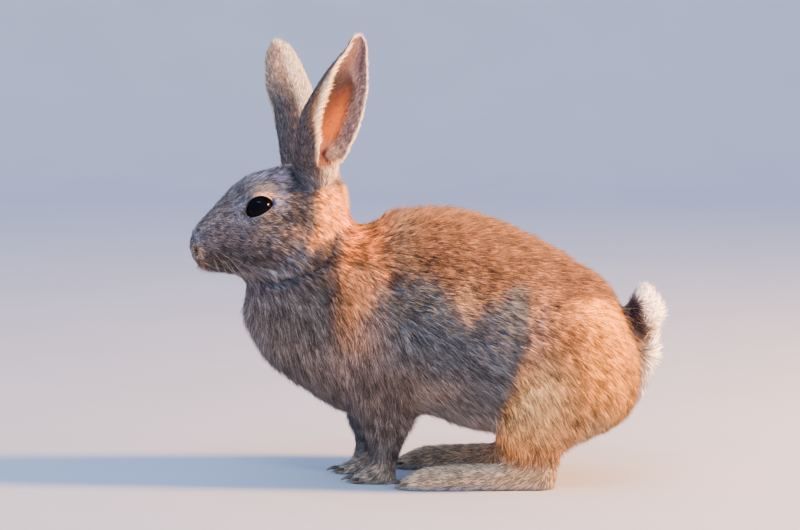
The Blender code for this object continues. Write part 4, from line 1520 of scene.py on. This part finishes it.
    def _face(self, f: SkinFields, paint: Callable, spot: Callable, head: np.ndarray) -> None:
        """Paints the head, with places on the straight head."""
        p = self.palette
        hx, _, hz = head.T
        ear_root = f.of(Region.EAR) * smoothstep(0.19, 0.08, f.ear_along)
        on_head = f.of(Region.HEAD) + ear_root
        paint(p.face, on_head, 0.6)
        spots = (
            (p.bridge, (-113, 8, 156), (12, 14, 13), 1.0, 0.6),
            (p.bridge, (-124, 8, 146), (13, 14, 10), 1.0, 0.6),
            (p.crown, (-96, 6, 173), (13, 14, 6), 1.0, 0.7),
            (p.crown, (-86, 8, 175), (8, 14, 7), 0.9, 0.7),
            (p.bridge, (-102, 10, 165.5), (8, 14, 4.5), 0.9, 0.7),
            (p.pale, (-108, 16, 155), (4, 14, 9), 0.7, 0.3),
            (p.temple, (-80, 20, 157), (7.5, 25, 10), 1.0, 0.7),
            (p.temple, (-88, 20, 151), (6, 20, 5), 0.8, 0.6),
            (p.temple, (-74, 22, 151), (4, 20, 6), 0.8, 0.6),
            (p.temple, (-76, 18, 172), (6, 20, 6), 0.8, 0.6),
            (p.pale, (-85.5, 16, 165), (3.5, 14, 4.5), 0.9, 0.3),
            (p.muzzle, (-109, 16, 135), (3.2, 20, 4.5), 0.8, 0.5),
            (p.muzzle, (-102, 16, 129), (5.5, 20, 4.5), 0.95, 0.5),
            (p.muzzle, (-95, 18, 129), (6, 20, 3.5), 0.6, 0.5),
            (p.pad, (-120, 13, 128), (11, 14, 6.5), 1.1, 0.8),
            (p.pale, (-131, 6, 140), (4, 10, 4), 0.8, 0.4),
            # The nose's front in a warm, light tone, partly painted light where it faces away from the key
            # lamp.
            (p.nose, (-133, 4, 133), (4.5, 7, 6), 0.9, 0.4),
            (p.cheek, (-78, 22, 143), (6, 25, 4), 0.9, 0.7),
            (p.jaw, (-76, 22, 137), (4, 20, 3.5), 0.6, 0.5),
            (p.jaw, (-75, 22, 129.5), (5.5, 20, 3.6), 0.95, 0.4),
            (p.jaw, (-88, 18, 121.5), (9, 20, 3), 0.95, 0.4),
            (p.throat, (-101, 13, 119), (5, 14, 4), 0.8, 0.3),
            (p.jaw, (-108, 8, 119.5), (5, 14, 3), 0.8, 0.3),
            (p.cream, (-92.5, 15, 167), (7.5, 14, 3.8), 1.4, 0.0),
            (p.behind_eye, (-86, 16, 160), (4, 14, 6), 0.7, 0.2),
            (p.tear, (-105, 18, 149.6), (6, 5, 2.0), 0.55, 0.1),
            (p.muzzle, (-114, 13, 122), (7, 14, 3), 0.7, 0.4),
            (p.rim, (-129.4, 10.5, 131.5), (1.7, 5, 4.5), 0.9, 0.3),
            (p.rim, (-128.6, 6, 125), (2.5, 6, 1.8), 0.8, 0.3),
        )
        for tone, centre, radii, strength, tick in spots:
            spot(tone, centre, radii, on_head * strength, tick, head)
        # The rear of the cheek is lit down to the fold behind the jaw.
        fold = hz - (126 + (hx + 78) * 0.54)
        behind = on_head + f.of(Region.NECK)
        from_x = hx + 68 + 5 * smoothstep(148, 138, hz)
        lit = smoothstep(-2, 7, from_x) * smoothstep(173, 166, hz)
        paint(p.lit, lit * smoothstep(1.5, 7, fold) * smoothstep(-43, -49, hx) * behind, 0.5)
        # Painted shade: a dark gap in the fold behind the jaw, and the nape in shadow under the fold.
        spot(p.dark, (-66, 23, 128), (5.5, 20, 5), behind * 0.9, 0.5, head)
        spot(p.nape, (-57, 22, 134.5), (7, 20, 5.5), behind * 0.9, 0.5, head)
        paint(p.ear_root, ear_root * smoothstep(-73, -67, hx), 0.6)
        paint(p.ear_root_lit, ear_root * smoothstep(-64, -58, hx), 0.5)

    def _ears(self, f: SkinFields, paint: Callable) -> None:
        """Paints the ears."""
        p = self.palette
        ear = f.of(Region.EAR)
        along, across, inside = f.ear_along, f.ear_across, f.ear_inside
        outside = ear * (1 - inside)
        near = f.places[:, 1] < -2
        free = smoothstep(0.08, 0.18, along)
        paint(p.ear_back, outside * free, 0.9)
        # The far ear's outside paler towards the tip, and the rear of each ear's outside cream, wider on the
        # far ear: pale hair partly painted in sun.
        paint(p.ear_far, outside * ~near * smoothstep(0.52, 0.8, along) * 0.95, 0.8)
        cream_from = np.where(near, 0.8, 0.5)
        paint(p.ear_cream, outside * free * smoothstep(cream_from - 0.05, cream_from + 0.1, across), 0.15)
        chart = np.column_stack([across, along, along * 0])
        lining = ear * inside
        paint(p.ear_pink, lining, 0.2)
        # Painted shade: the upper lining darker and greyer.
        paint(p.ear_pink_high, lining * smoothstep(0.46, 0.57, along), 0.8)
        # Painted light on the near ear only: an orange glow of sun shining through the lining, and a sunlit
        # band low in it.
        paint(p.ear_glow, lining * near * blob(chart, (0.745, 0.36, 0), (0.08, 0.14, 1)) * 1.5, 0.0)
        paint(p.ear_low, lining * near * smoothstep(0.3, 0.25, along) * 0.9, 0.2)
        flap = smoothstep(0.79, 0.85, across + smoothstep(0.55, 0.66, along) * 0.2)
        paint(p.ear_flap, lining * flap, 1.2)
        paint(p.ear_high, lining * smoothstep(0.56, 0.68, along) * smoothstep(0.95, 0.87, across) * 0.85, 1.2)
        # A pale fold low in the lining, partly painted sun.
        paint(p.ear_fold, lining * blob(chart, (0.87, 0.215, 0), (0.08, 0.065, 1)) * 1.3, 0.2)
        # Painted shade: a dark slit low in the near ear's lining.
        paint(p.ear_slit, lining * near * blob(chart, (0.76, 0.2, 0), (0.03, 0.06, 1)) * 1.3, 0.0)
        bow = np.exp(-(((along - 0.56) / 0.1) ** 2))
        edge = 0.015 + 0.055 * bow * (1 - inside)
        rim = smoothstep(edge + 0.02, edge, across) * (1 - bow * inside * 0.7)
        rim = np.maximum(rim, smoothstep(0.965, 0.985, across))
        rim = np.maximum(rim, smoothstep(0.965, 0.99, along))
        # A spot of the same rufous, partly sunlit tone on the near ear's front edge.
        paint(p.rufous, outside * blob(chart, (0.07, 0.53, 0), (0.06, 0.09, 1)) * near, 0.2)
        paint(p.ear_rim, ear * rim * smoothstep(0.2, 0.3, along), 0.0)

    def _bare_ear(self, f: SkinFields) -> np.ndarray:
        """Where the inside of an ear is nearly bare."""
        ear = f.of(Region.EAR) * f.ear_inside
        return ear * smoothstep(0.05, 0.08, f.ear_across) * smoothstep(0.84, 0.76, f.ear_across)

    def hair(self, f: SkinFields) -> dict:
        """The hair at each vertex.

        Args:
            f: the skin's fields.

        Returns:
            Arrays for the attributes hair_length and hair_width (metres), lift (radians), and the
            density weights locks and fine (from 0 to 1).
        """
        at, head = f.mirrored()
        z = at[:, 2]
        hx, _, hz = head.T
        table = np.zeros((len(at), 3))
        for region, *row in self.coats:
            table += f.of(region)[:, None] * np.array(row)
        length, width, lift = table.T
        on_head = f.of(Region.HEAD)
        front = smoothstep(-90, -132, hx)
        length *= 1 - on_head * front * 0.38
        width *= 1 - on_head * front * 0.25
        jaw = blob(head, (-76, 20, 122), (20, 24, 14)) * on_head
        length *= 1 + jaw * 0.9
        width *= 1 + jaw * 0.4
        near_eye = smoothstep(17, 10, np.linalg.norm(head - EYE_MIDDLE, axis=1)) * on_head
        length *= 1 - near_eye * 0.5
        width *= 1 - near_eye * 0.3
        lift *= 1 - near_eye * 0.35
        chin = blob(head, (-126, 4, 122), (9, 9, 5)) * on_head
        length *= 1 + chin * 1.5
        nape = blob(head, (-52, 0, 168), (9, 20, 16)) * (on_head + f.of(Region.NECK))
        length *= 1 + nape * 0.5
        lift += nape * 28
        tuft = blob(at, (-25, 0, 150), (4, 8, 6))
        length *= 1 + tuft * 0.5
        lift += tuft * 16
        ear = f.of(Region.EAR)
        root = ear * smoothstep(0.2, 0.08, f.ear_along)
        length += root * 3.5
        lift += root * 8
        tail = f.of(Region.TAIL)
        length *= 1 - tail * (smoothstep(92, 66, z) * 0.1 + smoothstep(92, 104, z) * 0.35)
        fringe = ear * smoothstep(0.07, 0.02, f.ear_across) * smoothstep(0.28, 0.36, f.ear_along)
        length *= 1 + fringe * 0.5
        length *= 1 - f.crease * 0.5
        nose = np.linalg.norm(head - np.array(NOSTRIL) * [1, -1, 1], axis=1)
        length *= 1 - 0.5 * smoothstep(9.0, 3.0, nose) * on_head
        fine = np.clip(on_head * smoothstep(-52, -72, hx + (130 - hz) * 0.3) + f.of(Region.EAR)
                       + f.of(Region.FOREPAW) + f.of(Region.HIND_FOOT), 0, 1)
        locks = 1 - fine
        lid_edge = (f.lid >= 0) * smoothstep(0.68, 0.6, f.lid)
        bald = np.clip(lid_edge + smoothstep(0.25, 0.5, f.nostril) + f.lips * 0.6, 0, 1)
        bald = np.maximum(bald, self._bare_ear(f) * 0.9)
        return {
            "hair_length": length * MM, "hair_width": width * MM, "lift": np.radians(lift),
            "locks": locks * (1 - bald), "fine": fine * (1 - bald),
        }


class Tuft(Enum):
    """The two makes of tuft, with the sides and segments of each."""

    LOCK = (3, 2)
    SPIKE = (3, 1)


class TuftTree:
    """The node tree that grows tufts on a patch of skin."""

    INPUTS = (
        ("Tufts per square metre", "NodeSocketFloat", 1.0e6),
        ("Spread", "NodeSocketFloat", 0.16),
        ("Swirl", "NodeSocketFloat", 0.35),
        ("Swirl Scale", "NodeSocketFloat", 90.0),
        ("Clump", "NodeSocketFloat", 0.7),
        ("Clump Scale", "NodeSocketFloat", 380.0),
        ("Mottle Scale", "NodeSocketFloat", 700.0),
        ("Bend", "NodeSocketFloat", 0.22),
        ("Patch Size", "NodeSocketFloat", 0.003),
        ("Seed", "NodeSocketInt", 1),
        ("Hair", "NodeSocketMaterial", None),
    )
    # The shortest and longest tuft against the length given, and a tuft's thickness against its width.
    LENGTHS = (0.68, 1.22)
    FLATNESS = 0.6
    # How much of the mottle is fine, and the scale of the broad rest against it.
    FINE_MOTTLE = 0.62
    BROAD_SCALE = 0.27

    def __init__(self, tuft: Tuft) -> None:
        """Builds the tree for one make of tuft."""
        self.tree = bpy.data.node_groups.new("coat_" + tuft.name.lower(), "GeometryNodeTree")
        face = self.tree.interface
        face.new_socket("Geometry", in_out="INPUT", socket_type="NodeSocketGeometry")
        self.sockets = {}
        for name, kind, default in self.INPUTS:
            socket = face.new_socket(name, in_out="INPUT", socket_type=kind)
            if default is not None:
                socket.default_value = default
            self.sockets[name] = socket.identifier
        face.new_socket("Geometry", in_out="OUTPUT", socket_type="NodeSocketGeometry")
        self._fill(tuft)

    def _fill(self, tuft: Tuft) -> None:
        """Adds the nodes."""
        g = Graph(self.tree)
        given = g.add("NodeGroupInput").outputs
        density = g.math("MULTIPLY", g.named("density"), given["Tufts per square metre"])
        scatter = g.add("GeometryNodeDistributePointsOnFaces", {
            "Mesh": given["Geometry"], "Density": density, "Seed": given["Seed"],
        }, distribute_method="RANDOM")
        normal = g.named("skin_normal", "FLOAT_VECTOR")
        comb = g.named("comb", "FLOAT_VECTOR")
        lift = g.named("lift")
        jitter = g.add("FunctionNodeRandomValue", {
            "Min": (-1, -1, -1), "Max": (1, 1, 1), "Seed": given["Seed"],
        }, data_type="FLOAT_VECTOR").outputs["Value"]
        place = g.add("GeometryNodeInputPosition").outputs[0]
        lying, rising = g.math("COSINE", lift), g.math("SINE", lift)
        along = g.vector("ADD", g.scaled(comb, lying), g.scaled(normal, rising))
        along = g.vector("ADD", along, g.scaled(jitter, given["Spread"]))
        # Broad swirls, then narrow clumps, turn the tufts together.
        for name, detail in (("Swirl", 1.0), ("Clump", 0.0)):
            turn = g.noise(place, given[name + " Scale"], detail).outputs["Color"]
            turn = g.vector("SUBTRACT", turn, (0.5, 0.5, 0.5))
            along = g.vector("ADD", along, g.scaled(turn, given[name]))
        rotation = g.add("FunctionNodeAxesToRotation", {0: along, 1: normal}, primary_axis="Z",
                         secondary_axis="Y").outputs[0]
        length = g.math("MULTIPLY", g.named("hair_length"), self._random(g, *self.LENGTHS, 7))
        half = g.math("MULTIPLY", g.named("hair_width"), 0.5)
        thin = g.math("MULTIPLY", half, self.FLATNESS)
        size = g.add("ShaderNodeCombineXYZ", {0: half, 1: thin, 2: length}).outputs[0]
        patchy = g.noise(place, given["Mottle Scale"]).outputs["Fac"]
        broad = g.noise(place, g.math("MULTIPLY", given["Mottle Scale"], self.BROAD_SCALE)).outputs["Fac"]
        broad = g.math("MULTIPLY", broad, 1 - self.FINE_MOTTLE)
        tone = g.math("MULTIPLY_ADD", patchy, self.FINE_MOTTLE, broad)
        stored = scatter.outputs["Points"]
        for name, kind, value in (
            ("grown", "FLOAT", length), ("turn", "QUATERNION", rotation), ("size", "FLOAT_VECTOR", size),
            ("chance", "FLOAT", self._random(g, 0.0, 1.0, 11)), ("tone", "FLOAT", tone),
        ):
            stored = self._keep(g, stored, name, kind, value)
        sides, segments = tuft.value
        cone = g.add("GeometryNodeMeshCone", {
            "Vertices": sides, "Side Segments": segments,
            "Radius Top": 0.0, "Radius Bottom": 1.0, "Depth": 1.0,
        }, fill_type="NONE").outputs["Mesh"]
        parts = g.add("ShaderNodeSeparateXYZ", {0: g.add("GeometryNodeInputPosition").outputs[0]}).outputs
        cone = self._keep(g, cone, "along", "FLOAT", parts[2])
        cone = self._keep(g, cone, "aside", "FLOAT", parts[0])
        if segments > 1:
            fuller = g.math("MULTIPLY_ADD", g.named("along"), 2.3, 0.7)
            fuller = g.add("ShaderNodeCombineXYZ", {0: fuller, 1: fuller, 2: 1.0}).outputs[0]
            spot = g.vector("MULTIPLY", g.add("GeometryNodeInputPosition").outputs[0], fuller)
            cone = g.add("GeometryNodeSetPosition", {"Geometry": cone, "Position": spot}).outputs[0]
        planted = g.add("GeometryNodeInstanceOnPoints", {
            "Points": stored, "Instance": cone, "Rotation": g.named("turn", "QUATERNION"),
            "Scale": g.named("size", "FLOAT_VECTOR"),
        }).outputs[0]
        real = g.add("GeometryNodeRealizeInstances", {0: planted}).outputs[0]
        share = g.named("along")
        most = g.math("MULTIPLY", g.named("grown"), given["Bend"])
        drop = g.math("MULTIPLY", g.math("MULTIPLY", share, share), most)
        down = g.scaled(g.named("skin_normal", "FLOAT_VECTOR"), g.math("MULTIPLY", drop, -1.0))
        bent = g.add("GeometryNodeSetPosition", {"Geometry": real, "Offset": down}).outputs[0]
        local = g.add("ShaderNodeCombineXYZ", {0: g.named("aside"), 1: share}).outputs[0]
        patch = g.vector("ADD", g.named("skin_uv", "FLOAT_VECTOR"), g.scaled(local, given["Patch Size"]))
        mapped = self._keep(g, bent, UV_NAME, "FLOAT2", patch, "CORNER")
        smooth = g.add("GeometryNodeSetShadeSmooth", {0: mapped}).outputs[0]
        dressed = g.add("GeometryNodeSetMaterial", {"Geometry": smooth, "Material": given["Hair"]}).outputs[0]
        g.add("NodeGroupOutput", {0: dressed})

    def _random(self, g: Graph, low: float, high: float, seed: int) -> bpy.types.NodeSocket:
        """A random number for each tuft."""
        inputs = {2: low, 3: high, "Seed": seed}
        return g.add("FunctionNodeRandomValue", inputs, data_type="FLOAT").outputs[1]

    def _keep(self, g: Graph, geometry: object, name: str, data_type: str, value: object,
              domain: str = "POINT") -> bpy.types.NodeSocket:
        """Stores a value as a named attribute.

        Args:
            g: the graph.
            geometry: the geometry's socket.
            name: the attribute's name.
            data_type: its type.
            value: the value's socket.
            domain: where it is stored.

        Returns:
            The geometry's new socket.
        """
        node = g.add("GeometryNodeStoreNamedAttribute", {"Geometry": geometry, "Name": name},
                     data_type=data_type, domain=domain)
        g.tree.links.new(value, node.inputs["Value"])
        return node.outputs[0]


@dataclass(frozen=True)
class Patch:
    """One piece of the coat: where it grows and how its tufts are made."""

    name: str
    tuft: Tuft
    per_mm2: float
    slot: str
    seed: int
    box: tuple
    side: Side | None = None
    regions: tuple = ()
    locks: bool = False
    spread: float = 0.16
    mottle: float = 700.0

    def covers(self, centres: np.ndarray, owners: np.ndarray) -> np.ndarray:
        """Which faces of the skin belong to the patch.

        Args:
            centres: (n, 3) face centres in millimetres.
            owners: (n,) region numbers of the faces.

        Returns:
            (n,) flags.
        """
        low, high = self.box
        picked = (centres[:, 0] >= low) & (centres[:, 0] < high)
        if self.side is not None:
            picked &= (centres[:, 1] < 0) == (self.side is Side.LEFT)
        picked &= np.isin(owners, [r.value for r in self.regions])
        return picked


@dataclass
class Coat:
    """The rabbit's coat, grown in patches on copies of the skin."""

    skin: bpy.types.Object
    fields: SkinFields
    # What only the growing needs, taken off the finished tufts.
    temporary: tuple = (
        "ear_run", "ear_aside", "comb", "lift", "density", "hair_length", "hair_width", "skin_uv",
        "grown", "turn", "size", "aside", "bare", "wet", "ear_along", "ear_across", "ear_inside", "lid",
        "locks", "fine",
    )
    # Where one piece of the body's coat ends and the next starts, along X.
    body_cuts: tuple = (-200, -62, -22, 26, 72, 200)
    head_cut: float = -96
    floor_gap: float = 0.00005
    # Tufts on each square millimetre of skin.
    face_tufts: float = 5.0
    jaw_tufts: float = 5.5
    ear_tufts: float = 4.0
    body_tufts: float = 4.95
    foot_tufts: float = 2.9
    tail_tufts: float = 4.0

    def patches(self) -> list[Patch]:
        """The patches, in the order they are made."""
        head, ear, thigh, tail = (Region.HEAD,), (Region.EAR,), (Region.THIGH,), (Region.TAIL,)
        body = (Region.TRUNK, Region.NECK, Region.FORELEG)
        paws = (Region.FOREPAW, Region.HIND_FOOT)
        spike = Tuft.SPIKE
        front, rear = (-200, self.head_cut), (self.head_cut, 0)
        out = [Patch("coat_face", spike, self.face_tufts, "head_fur", 3, front, None, head, mottle=1300.0)]
        for seed, side in enumerate(Side, 4):
            name = "coat_cheek_" + side.word
            out.append(Patch(name, spike, self.face_tufts, "head_fur", seed, rear, side, head,
                             mottle=1100.0))
        out.append(Patch("coat_jaw", spike, self.jaw_tufts, "head_fur", 6, (-200, 0), None, head,
                         locks=True))
        for seed, side in enumerate(Side, 8):
            name = "coat_ear_" + side.word
            out.append(Patch(name, spike, self.ear_tufts, "ear_fur", seed, ANYWHERE, side, ear,
                             mottle=1500.0))
        seed = 20
        for k, span in enumerate(zip(self.body_cuts, self.body_cuts[1:]), 1):
            for side in Side:
                name = f"coat_body_{k}_{side.word}"
                out.append(Patch(name, spike, self.body_tufts, "body_fur", seed, span, side, body,
                                 locks=True))
                seed += 1
        for seed, side in enumerate(Side, 40):
            name = "coat_thigh_" + side.word
            out.append(Patch(name, spike, self.body_tufts, "leg_fur", seed, ANYWHERE, side, thigh,
                             locks=True))
        out.append(Patch("coat_feet", spike, self.foot_tufts, "foot_fur", 50, ANYWHERE, None, paws))
        out.append(Patch("coat_tail", Tuft.LOCK, self.tail_tufts, "tail_fur", 51, ANYWHERE, None, tail,
                         locks=True, spread=0.22))
        return out

    def grow(self, finish: bpy.types.Material) -> list[tuple[bpy.types.Object, Patch]]:
        """Grows every patch.

        Args:
            finish: the hair's material.

        Returns:
            The finished pieces with their patches.
        """
        mesh = self.skin.data
        centres = np.empty(len(mesh.polygons) * 3, np.float32)
        mesh.polygons.foreach_get("center", centres)
        centres = centres.reshape(-1, 3) / MM
        first = np.array([p.vertices[0] for p in mesh.polygons])
        owners = self.fields.regions[first].argmax(axis=1)
        trees = {tuft: TuftTree(tuft) for tuft in Tuft}
        grown = []
        for patch in self.patches():
            source = self._source(patch, patch.covers(centres, owners))
            piece = self._tufts(patch, source, trees[patch.tuft], finish)
            bpy.data.meshes.remove(source)
            log.info("%s: %d triangles", patch.name, triangles(piece.data))
            grown.append((piece, patch))
        return grown

    def _source(self, patch: Patch, picked: np.ndarray) -> bpy.types.Mesh:
        """A copy of the skin that holds only the patch's faces."""
        bm = bmesh.new()
        bm.from_mesh(self.skin.data)
        bm.faces.ensure_lookup_table()
        spare = [bm.faces[i] for i in np.flatnonzero(~picked)]
        bmesh.ops.delete(bm, geom=spare, context="FACES")
        mesh = bpy.data.meshes.new(patch.name + "_source")
        bm.to_mesh(mesh)
        bm.free()
        mesh.uv_layers[UV_NAME].name = "skin_uv"
        kind = "locks" if patch.locks else "fine"
        values = np.empty(len(mesh.vertices), np.float32)
        mesh.attributes[kind].data.foreach_get("value", values)
        store(mesh, "density", "FLOAT", values)
        return mesh

    def _tufts(self, patch: Patch, source: bpy.types.Mesh, tree: TuftTree,
               finish: bpy.types.Material) -> bpy.types.Object:
        """Grows one patch and turns it into a plain mesh."""
        piece = object_of(patch.name, source.copy())
        modifier = piece.modifiers.new("tufts", "NODES")
        modifier.node_group = tree.tree
        chosen = {
            "Tufts per square metre": patch.per_mm2 * 1e6, "Spread": patch.spread,
            "Mottle Scale": patch.mottle, "Seed": patch.seed, "Hair": finish,
        }
        for name, value in chosen.items():
            modifier[tree.sockets[name]] = value
        applied(piece)
        mesh = piece.data
        for name in self.temporary:
            spare = mesh.attributes.get(name)
            if spare is not None:
                mesh.attributes.remove(spare)
        places = coordinates(mesh)
        places[:, 2] = np.maximum(places[:, 2], self.floor_gap)
        set_coordinates(mesh, places)
        return piece


@dataclass
class Whiskers:
    """The whiskers of the lip pads and brows: long tapering hairs that sweep back. Millimetres."""

    root_radius: float = 0.07
    rings: int = 12
    sides: int = 4
    seed: int = 5

    def mesh(self, skin: bpy.types.Object) -> bpy.types.Mesh:
        """All the whiskers, rooted on the skin."""
        rng = np.random.default_rng(self.seed)
        tree = BVHTree.FromObject(skin, bpy.context.evaluated_depsgraph_get())
        pieces = []
        for side in Side:
            for row in range(3):
                for k in range(3):
                    root = (-124.0 + 4.2 * k, side.value * 18.0, 131.0 - 2.8 * row - 0.6 * k)
                    length = rng.uniform(9, 14) + 4.0 * k
                    aim = np.array([0.3 + 0.16 * k, side.value * rng.uniform(0.3, 0.5), -0.25 - 0.22 * row])
                    pieces.append(self._hair(tree, root, aim + rng.normal(0, 0.06, 3), length, 0.35))
            for k in range(6):
                root = (-122.0 + 2.6 * k, side.value * rng.uniform(2, 9), 118.0)
                aim = np.array([0.1 + 0.08 * k, side.value * 0.1, -1.0])
                pieces.append(self._hair(tree, root, aim + rng.normal(0, 0.12, 3), rng.uniform(6, 11), 0.1))
            for k in range(2):
                root = (-100.0 + 3.5 * k, side.value * 16.0, 168.0 + k)
                aim = np.array([-0.25 + 0.3 * k, side.value * 0.5, 0.85])
                pieces.append(self._hair(tree, root, aim + rng.normal(0, 0.05, 3), rng.uniform(9, 13), 0.1))
        pieces.append(self._hair(tree, (-128.0, -9.0, 141.0), np.array([-0.62, -0.3, 0.62]), 12.0, 0.1))
        return joined_meshes("whiskers", pieces)

    def _hair(self, tree: BVHTree, root: tuple, aim: np.ndarray, length: float, sag: float) -> bpy.types.Mesh:
        """One hair from the skin nearest to a place on the straight head."""
        here = from_head(np.array(root))
        start, normal, _, _ = tree.find_nearest(Vector(here) * MM)
        start = np.array(start) / MM - np.array(normal) * 0.4
        run = unit(from_head(HEAD_PIVOT + aim) - HEAD_PIVOT)
        across = unit(np.cross(run, [0.0, 0.3, 1.0]))
        other = np.cross(run, across)
        rings = []
        for k in range(self.rings):
            share = k / (self.rings - 1)
            centre = start + run * length * share + np.array([0.25, 0, -1.0]) * sag * length * share**2
            radius = self.root_radius * (1 - 0.85 * share)
            rings.append(circle(centre, across, other, self.sides, radius))
        return tapered_mesh("whisker", rings)


@dataclass(frozen=True)
class Lamp:
    """A lamp that looks at the rabbit. Its azimuth goes from -Y towards +X. Metres, degrees, watts."""

    name: str
    azimuth: float
    elevation: float
    distance: float
    size: tuple
    power: float
    colour: tuple


@dataclass
class Studio:
    """A pale floor, a warm key behind the rabbit, cool light all round and the camera. Metres, degrees."""

    aim: tuple = (-0.01425, 0.0, 0.12255)
    distance: float = 1.52
    elevation_deg: float = 5.0
    lens: float = 120.0
    lamps: tuple = (
        Lamp("key", azimuth=83, elevation=24, distance=1.6, size=(0.22, 0.22), power=140.0,
             colour=(1.0, 0.5, 0.2)),
        Lamp("window", azimuth=-10, elevation=50, distance=1.3, size=(0.55, 0.12), power=6.0,
             colour=(0.6, 0.78, 1.0)),
    )
    room_light: tuple = (0.44, 0.585, 0.97)
    room_strength: float = 1.6

    def _placed(self, name: str, data: bpy.types.ID, azimuth: float, elevation: float,
                distance: float) -> bpy.types.Object:
        """Links a camera or lamp that looks at the rabbit from an azimuth, an elevation and a distance."""
        obj = object_of(name, data)
        a, e = math.radians(azimuth), math.radians(elevation)
        away = Vector((math.sin(a) * math.cos(e), -math.cos(a) * math.cos(e), math.sin(e)))
        obj.location = Vector(self.aim) + away * distance
        obj.rotation_euler = (-away).to_track_quat("-Z", "Y").to_euler()
        return obj

    def camera(self) -> bpy.types.Object:
        """Sets the camera."""
        data = bpy.data.cameras.new("camera")
        data.lens = self.lens
        data.sensor_width = 36.0
        data.clip_start = 0.01
        obj = self._placed("camera", data, 0.0, self.elevation_deg, self.distance)
        bpy.context.scene.camera = obj
        return obj

    def lamp(self, lamp: Lamp) -> bpy.types.Object:
        """Sets one lamp."""
        data = bpy.data.lights.new(lamp.name, "AREA")
        data.shape = "RECTANGLE"
        data.size, data.size_y = lamp.size
        data.energy = lamp.power
        data.color = lamp.colour
        return self._placed(lamp.name, data, lamp.azimuth, lamp.elevation, lamp.distance)

    def lights(self) -> None:
        """Sets the lamps and the room's light."""
        for lamp in self.lamps:
            self.lamp(lamp)
        world = bpy.data.worlds.new("room")
        world.use_nodes = True
        background = world.node_tree.nodes["Background"]
        background.inputs["Color"].default_value = (*self.room_light, 1.0)
        background.inputs["Strength"].default_value = self.room_strength
        bpy.context.scene.world = world

    def floor(self) -> None:
        """A wide pale floor at the soles, which curves up into a wall far behind."""
        front, half_width, reach, bend, height, steps = -4.0, 6.0, 2.6, 1.4, 5.0, 16
        line = [(front, 0.0)]
        for k in range(steps + 1):
            turn = math.pi / 2 * k / steps
            line.append((reach + bend * math.sin(turn), bend * (1 - math.cos(turn))))
        line.append((reach + bend, height))
        bm = bmesh.new()
        rows = [[bm.verts.new((x, y, z)) for y, z in line] for x in (-half_width, half_width)]
        for k in range(len(line) - 1):
            bm.faces.new((rows[0][k], rows[1][k], rows[1][k + 1], rows[0][k + 1]))
        mesh = bpy.data.meshes.new("floor")
        bm.to_mesh(mesh)
        bm.free()
        mesh.shade_smooth()
        mesh.materials.append(FloorFinish().material())
        object_of("floor", mesh)


def dressed(mesh: bpy.types.Mesh, material: bpy.types.Material) -> bpy.types.Object:
    """An object of the mesh with the material on it."""
    mesh.materials.clear()
    mesh.materials.append(material)
    return object_of(mesh.name, mesh)


def main() -> None:
    """Builds the rabbit and its studio."""
    logging.basicConfig(level=logging.INFO, format="%(message)s")
    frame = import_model()
    nodes = frame["nodes"]
    studio = Studio()
    studio.camera()
    studio.lights()
    studio.floor()
    eyes = {side: EyeSetting.read(side) for side in Side}
    skin, fields = Skin(nodes, eyes, Ear.pair()).build()
    markings = Markings()
    colours = markings.colours(fields)
    hair = markings.hair(fields)
    comb = Flow().at(fields, eyes)
    mesh = skin.data
    for name, values in {**colours, **hair}.items():
        store(mesh, name, "FLOAT_COLOR" if name == "coat_colour" else "FLOAT", values)
    store(mesh, "comb", "FLOAT_VECTOR", comb)
    store(mesh, "skin_normal", "FLOAT_VECTOR", fields.normals)
    mesh.materials.clear()
    mesh.materials.append(SkinFinish().material())
    log.info("skin: %d triangles", triangles(mesh))
    flesh = [name for name in nodes if not name.startswith("eye")]
    coat = Coat(skin, fields).grow(CoatFinish().material())
    for piece, patch in coat:
        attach(piece, BODY)
    for name in ("comb", "lift", "hair_length", "hair_width", "locks", "fine", "skin_normal"):
        mesh.attributes.remove(mesh.attributes[name])
    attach(skin, BODY)
    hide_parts(*flesh)
    eye_finish = EyeFinish().material()
    for side, setting in eyes.items():
        ball = dressed(Eyeball(setting).mesh(), eye_finish)
        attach(ball, BODY)
        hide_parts("eye_" + side.word)
        log.info("%s: %d triangles", ball.name, triangles(ball.data))
    horn = HornFinish().material()
    for foot in Foot.kinds():
        for side in Side:
            claws = dressed(Claws(foot, side).mesh(), horn)
            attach(claws, BODY)
            log.info("%s: %d claws", claws.name, len(foot.toes))
    whiskers = dressed(Whiskers().mesh(skin), WhiskerFinish().material())
    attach(whiskers, BODY)
    log.info("%s: %d triangles", whiskers.name, triangles(whiskers.data))


if __name__ == "__main__":
    main()
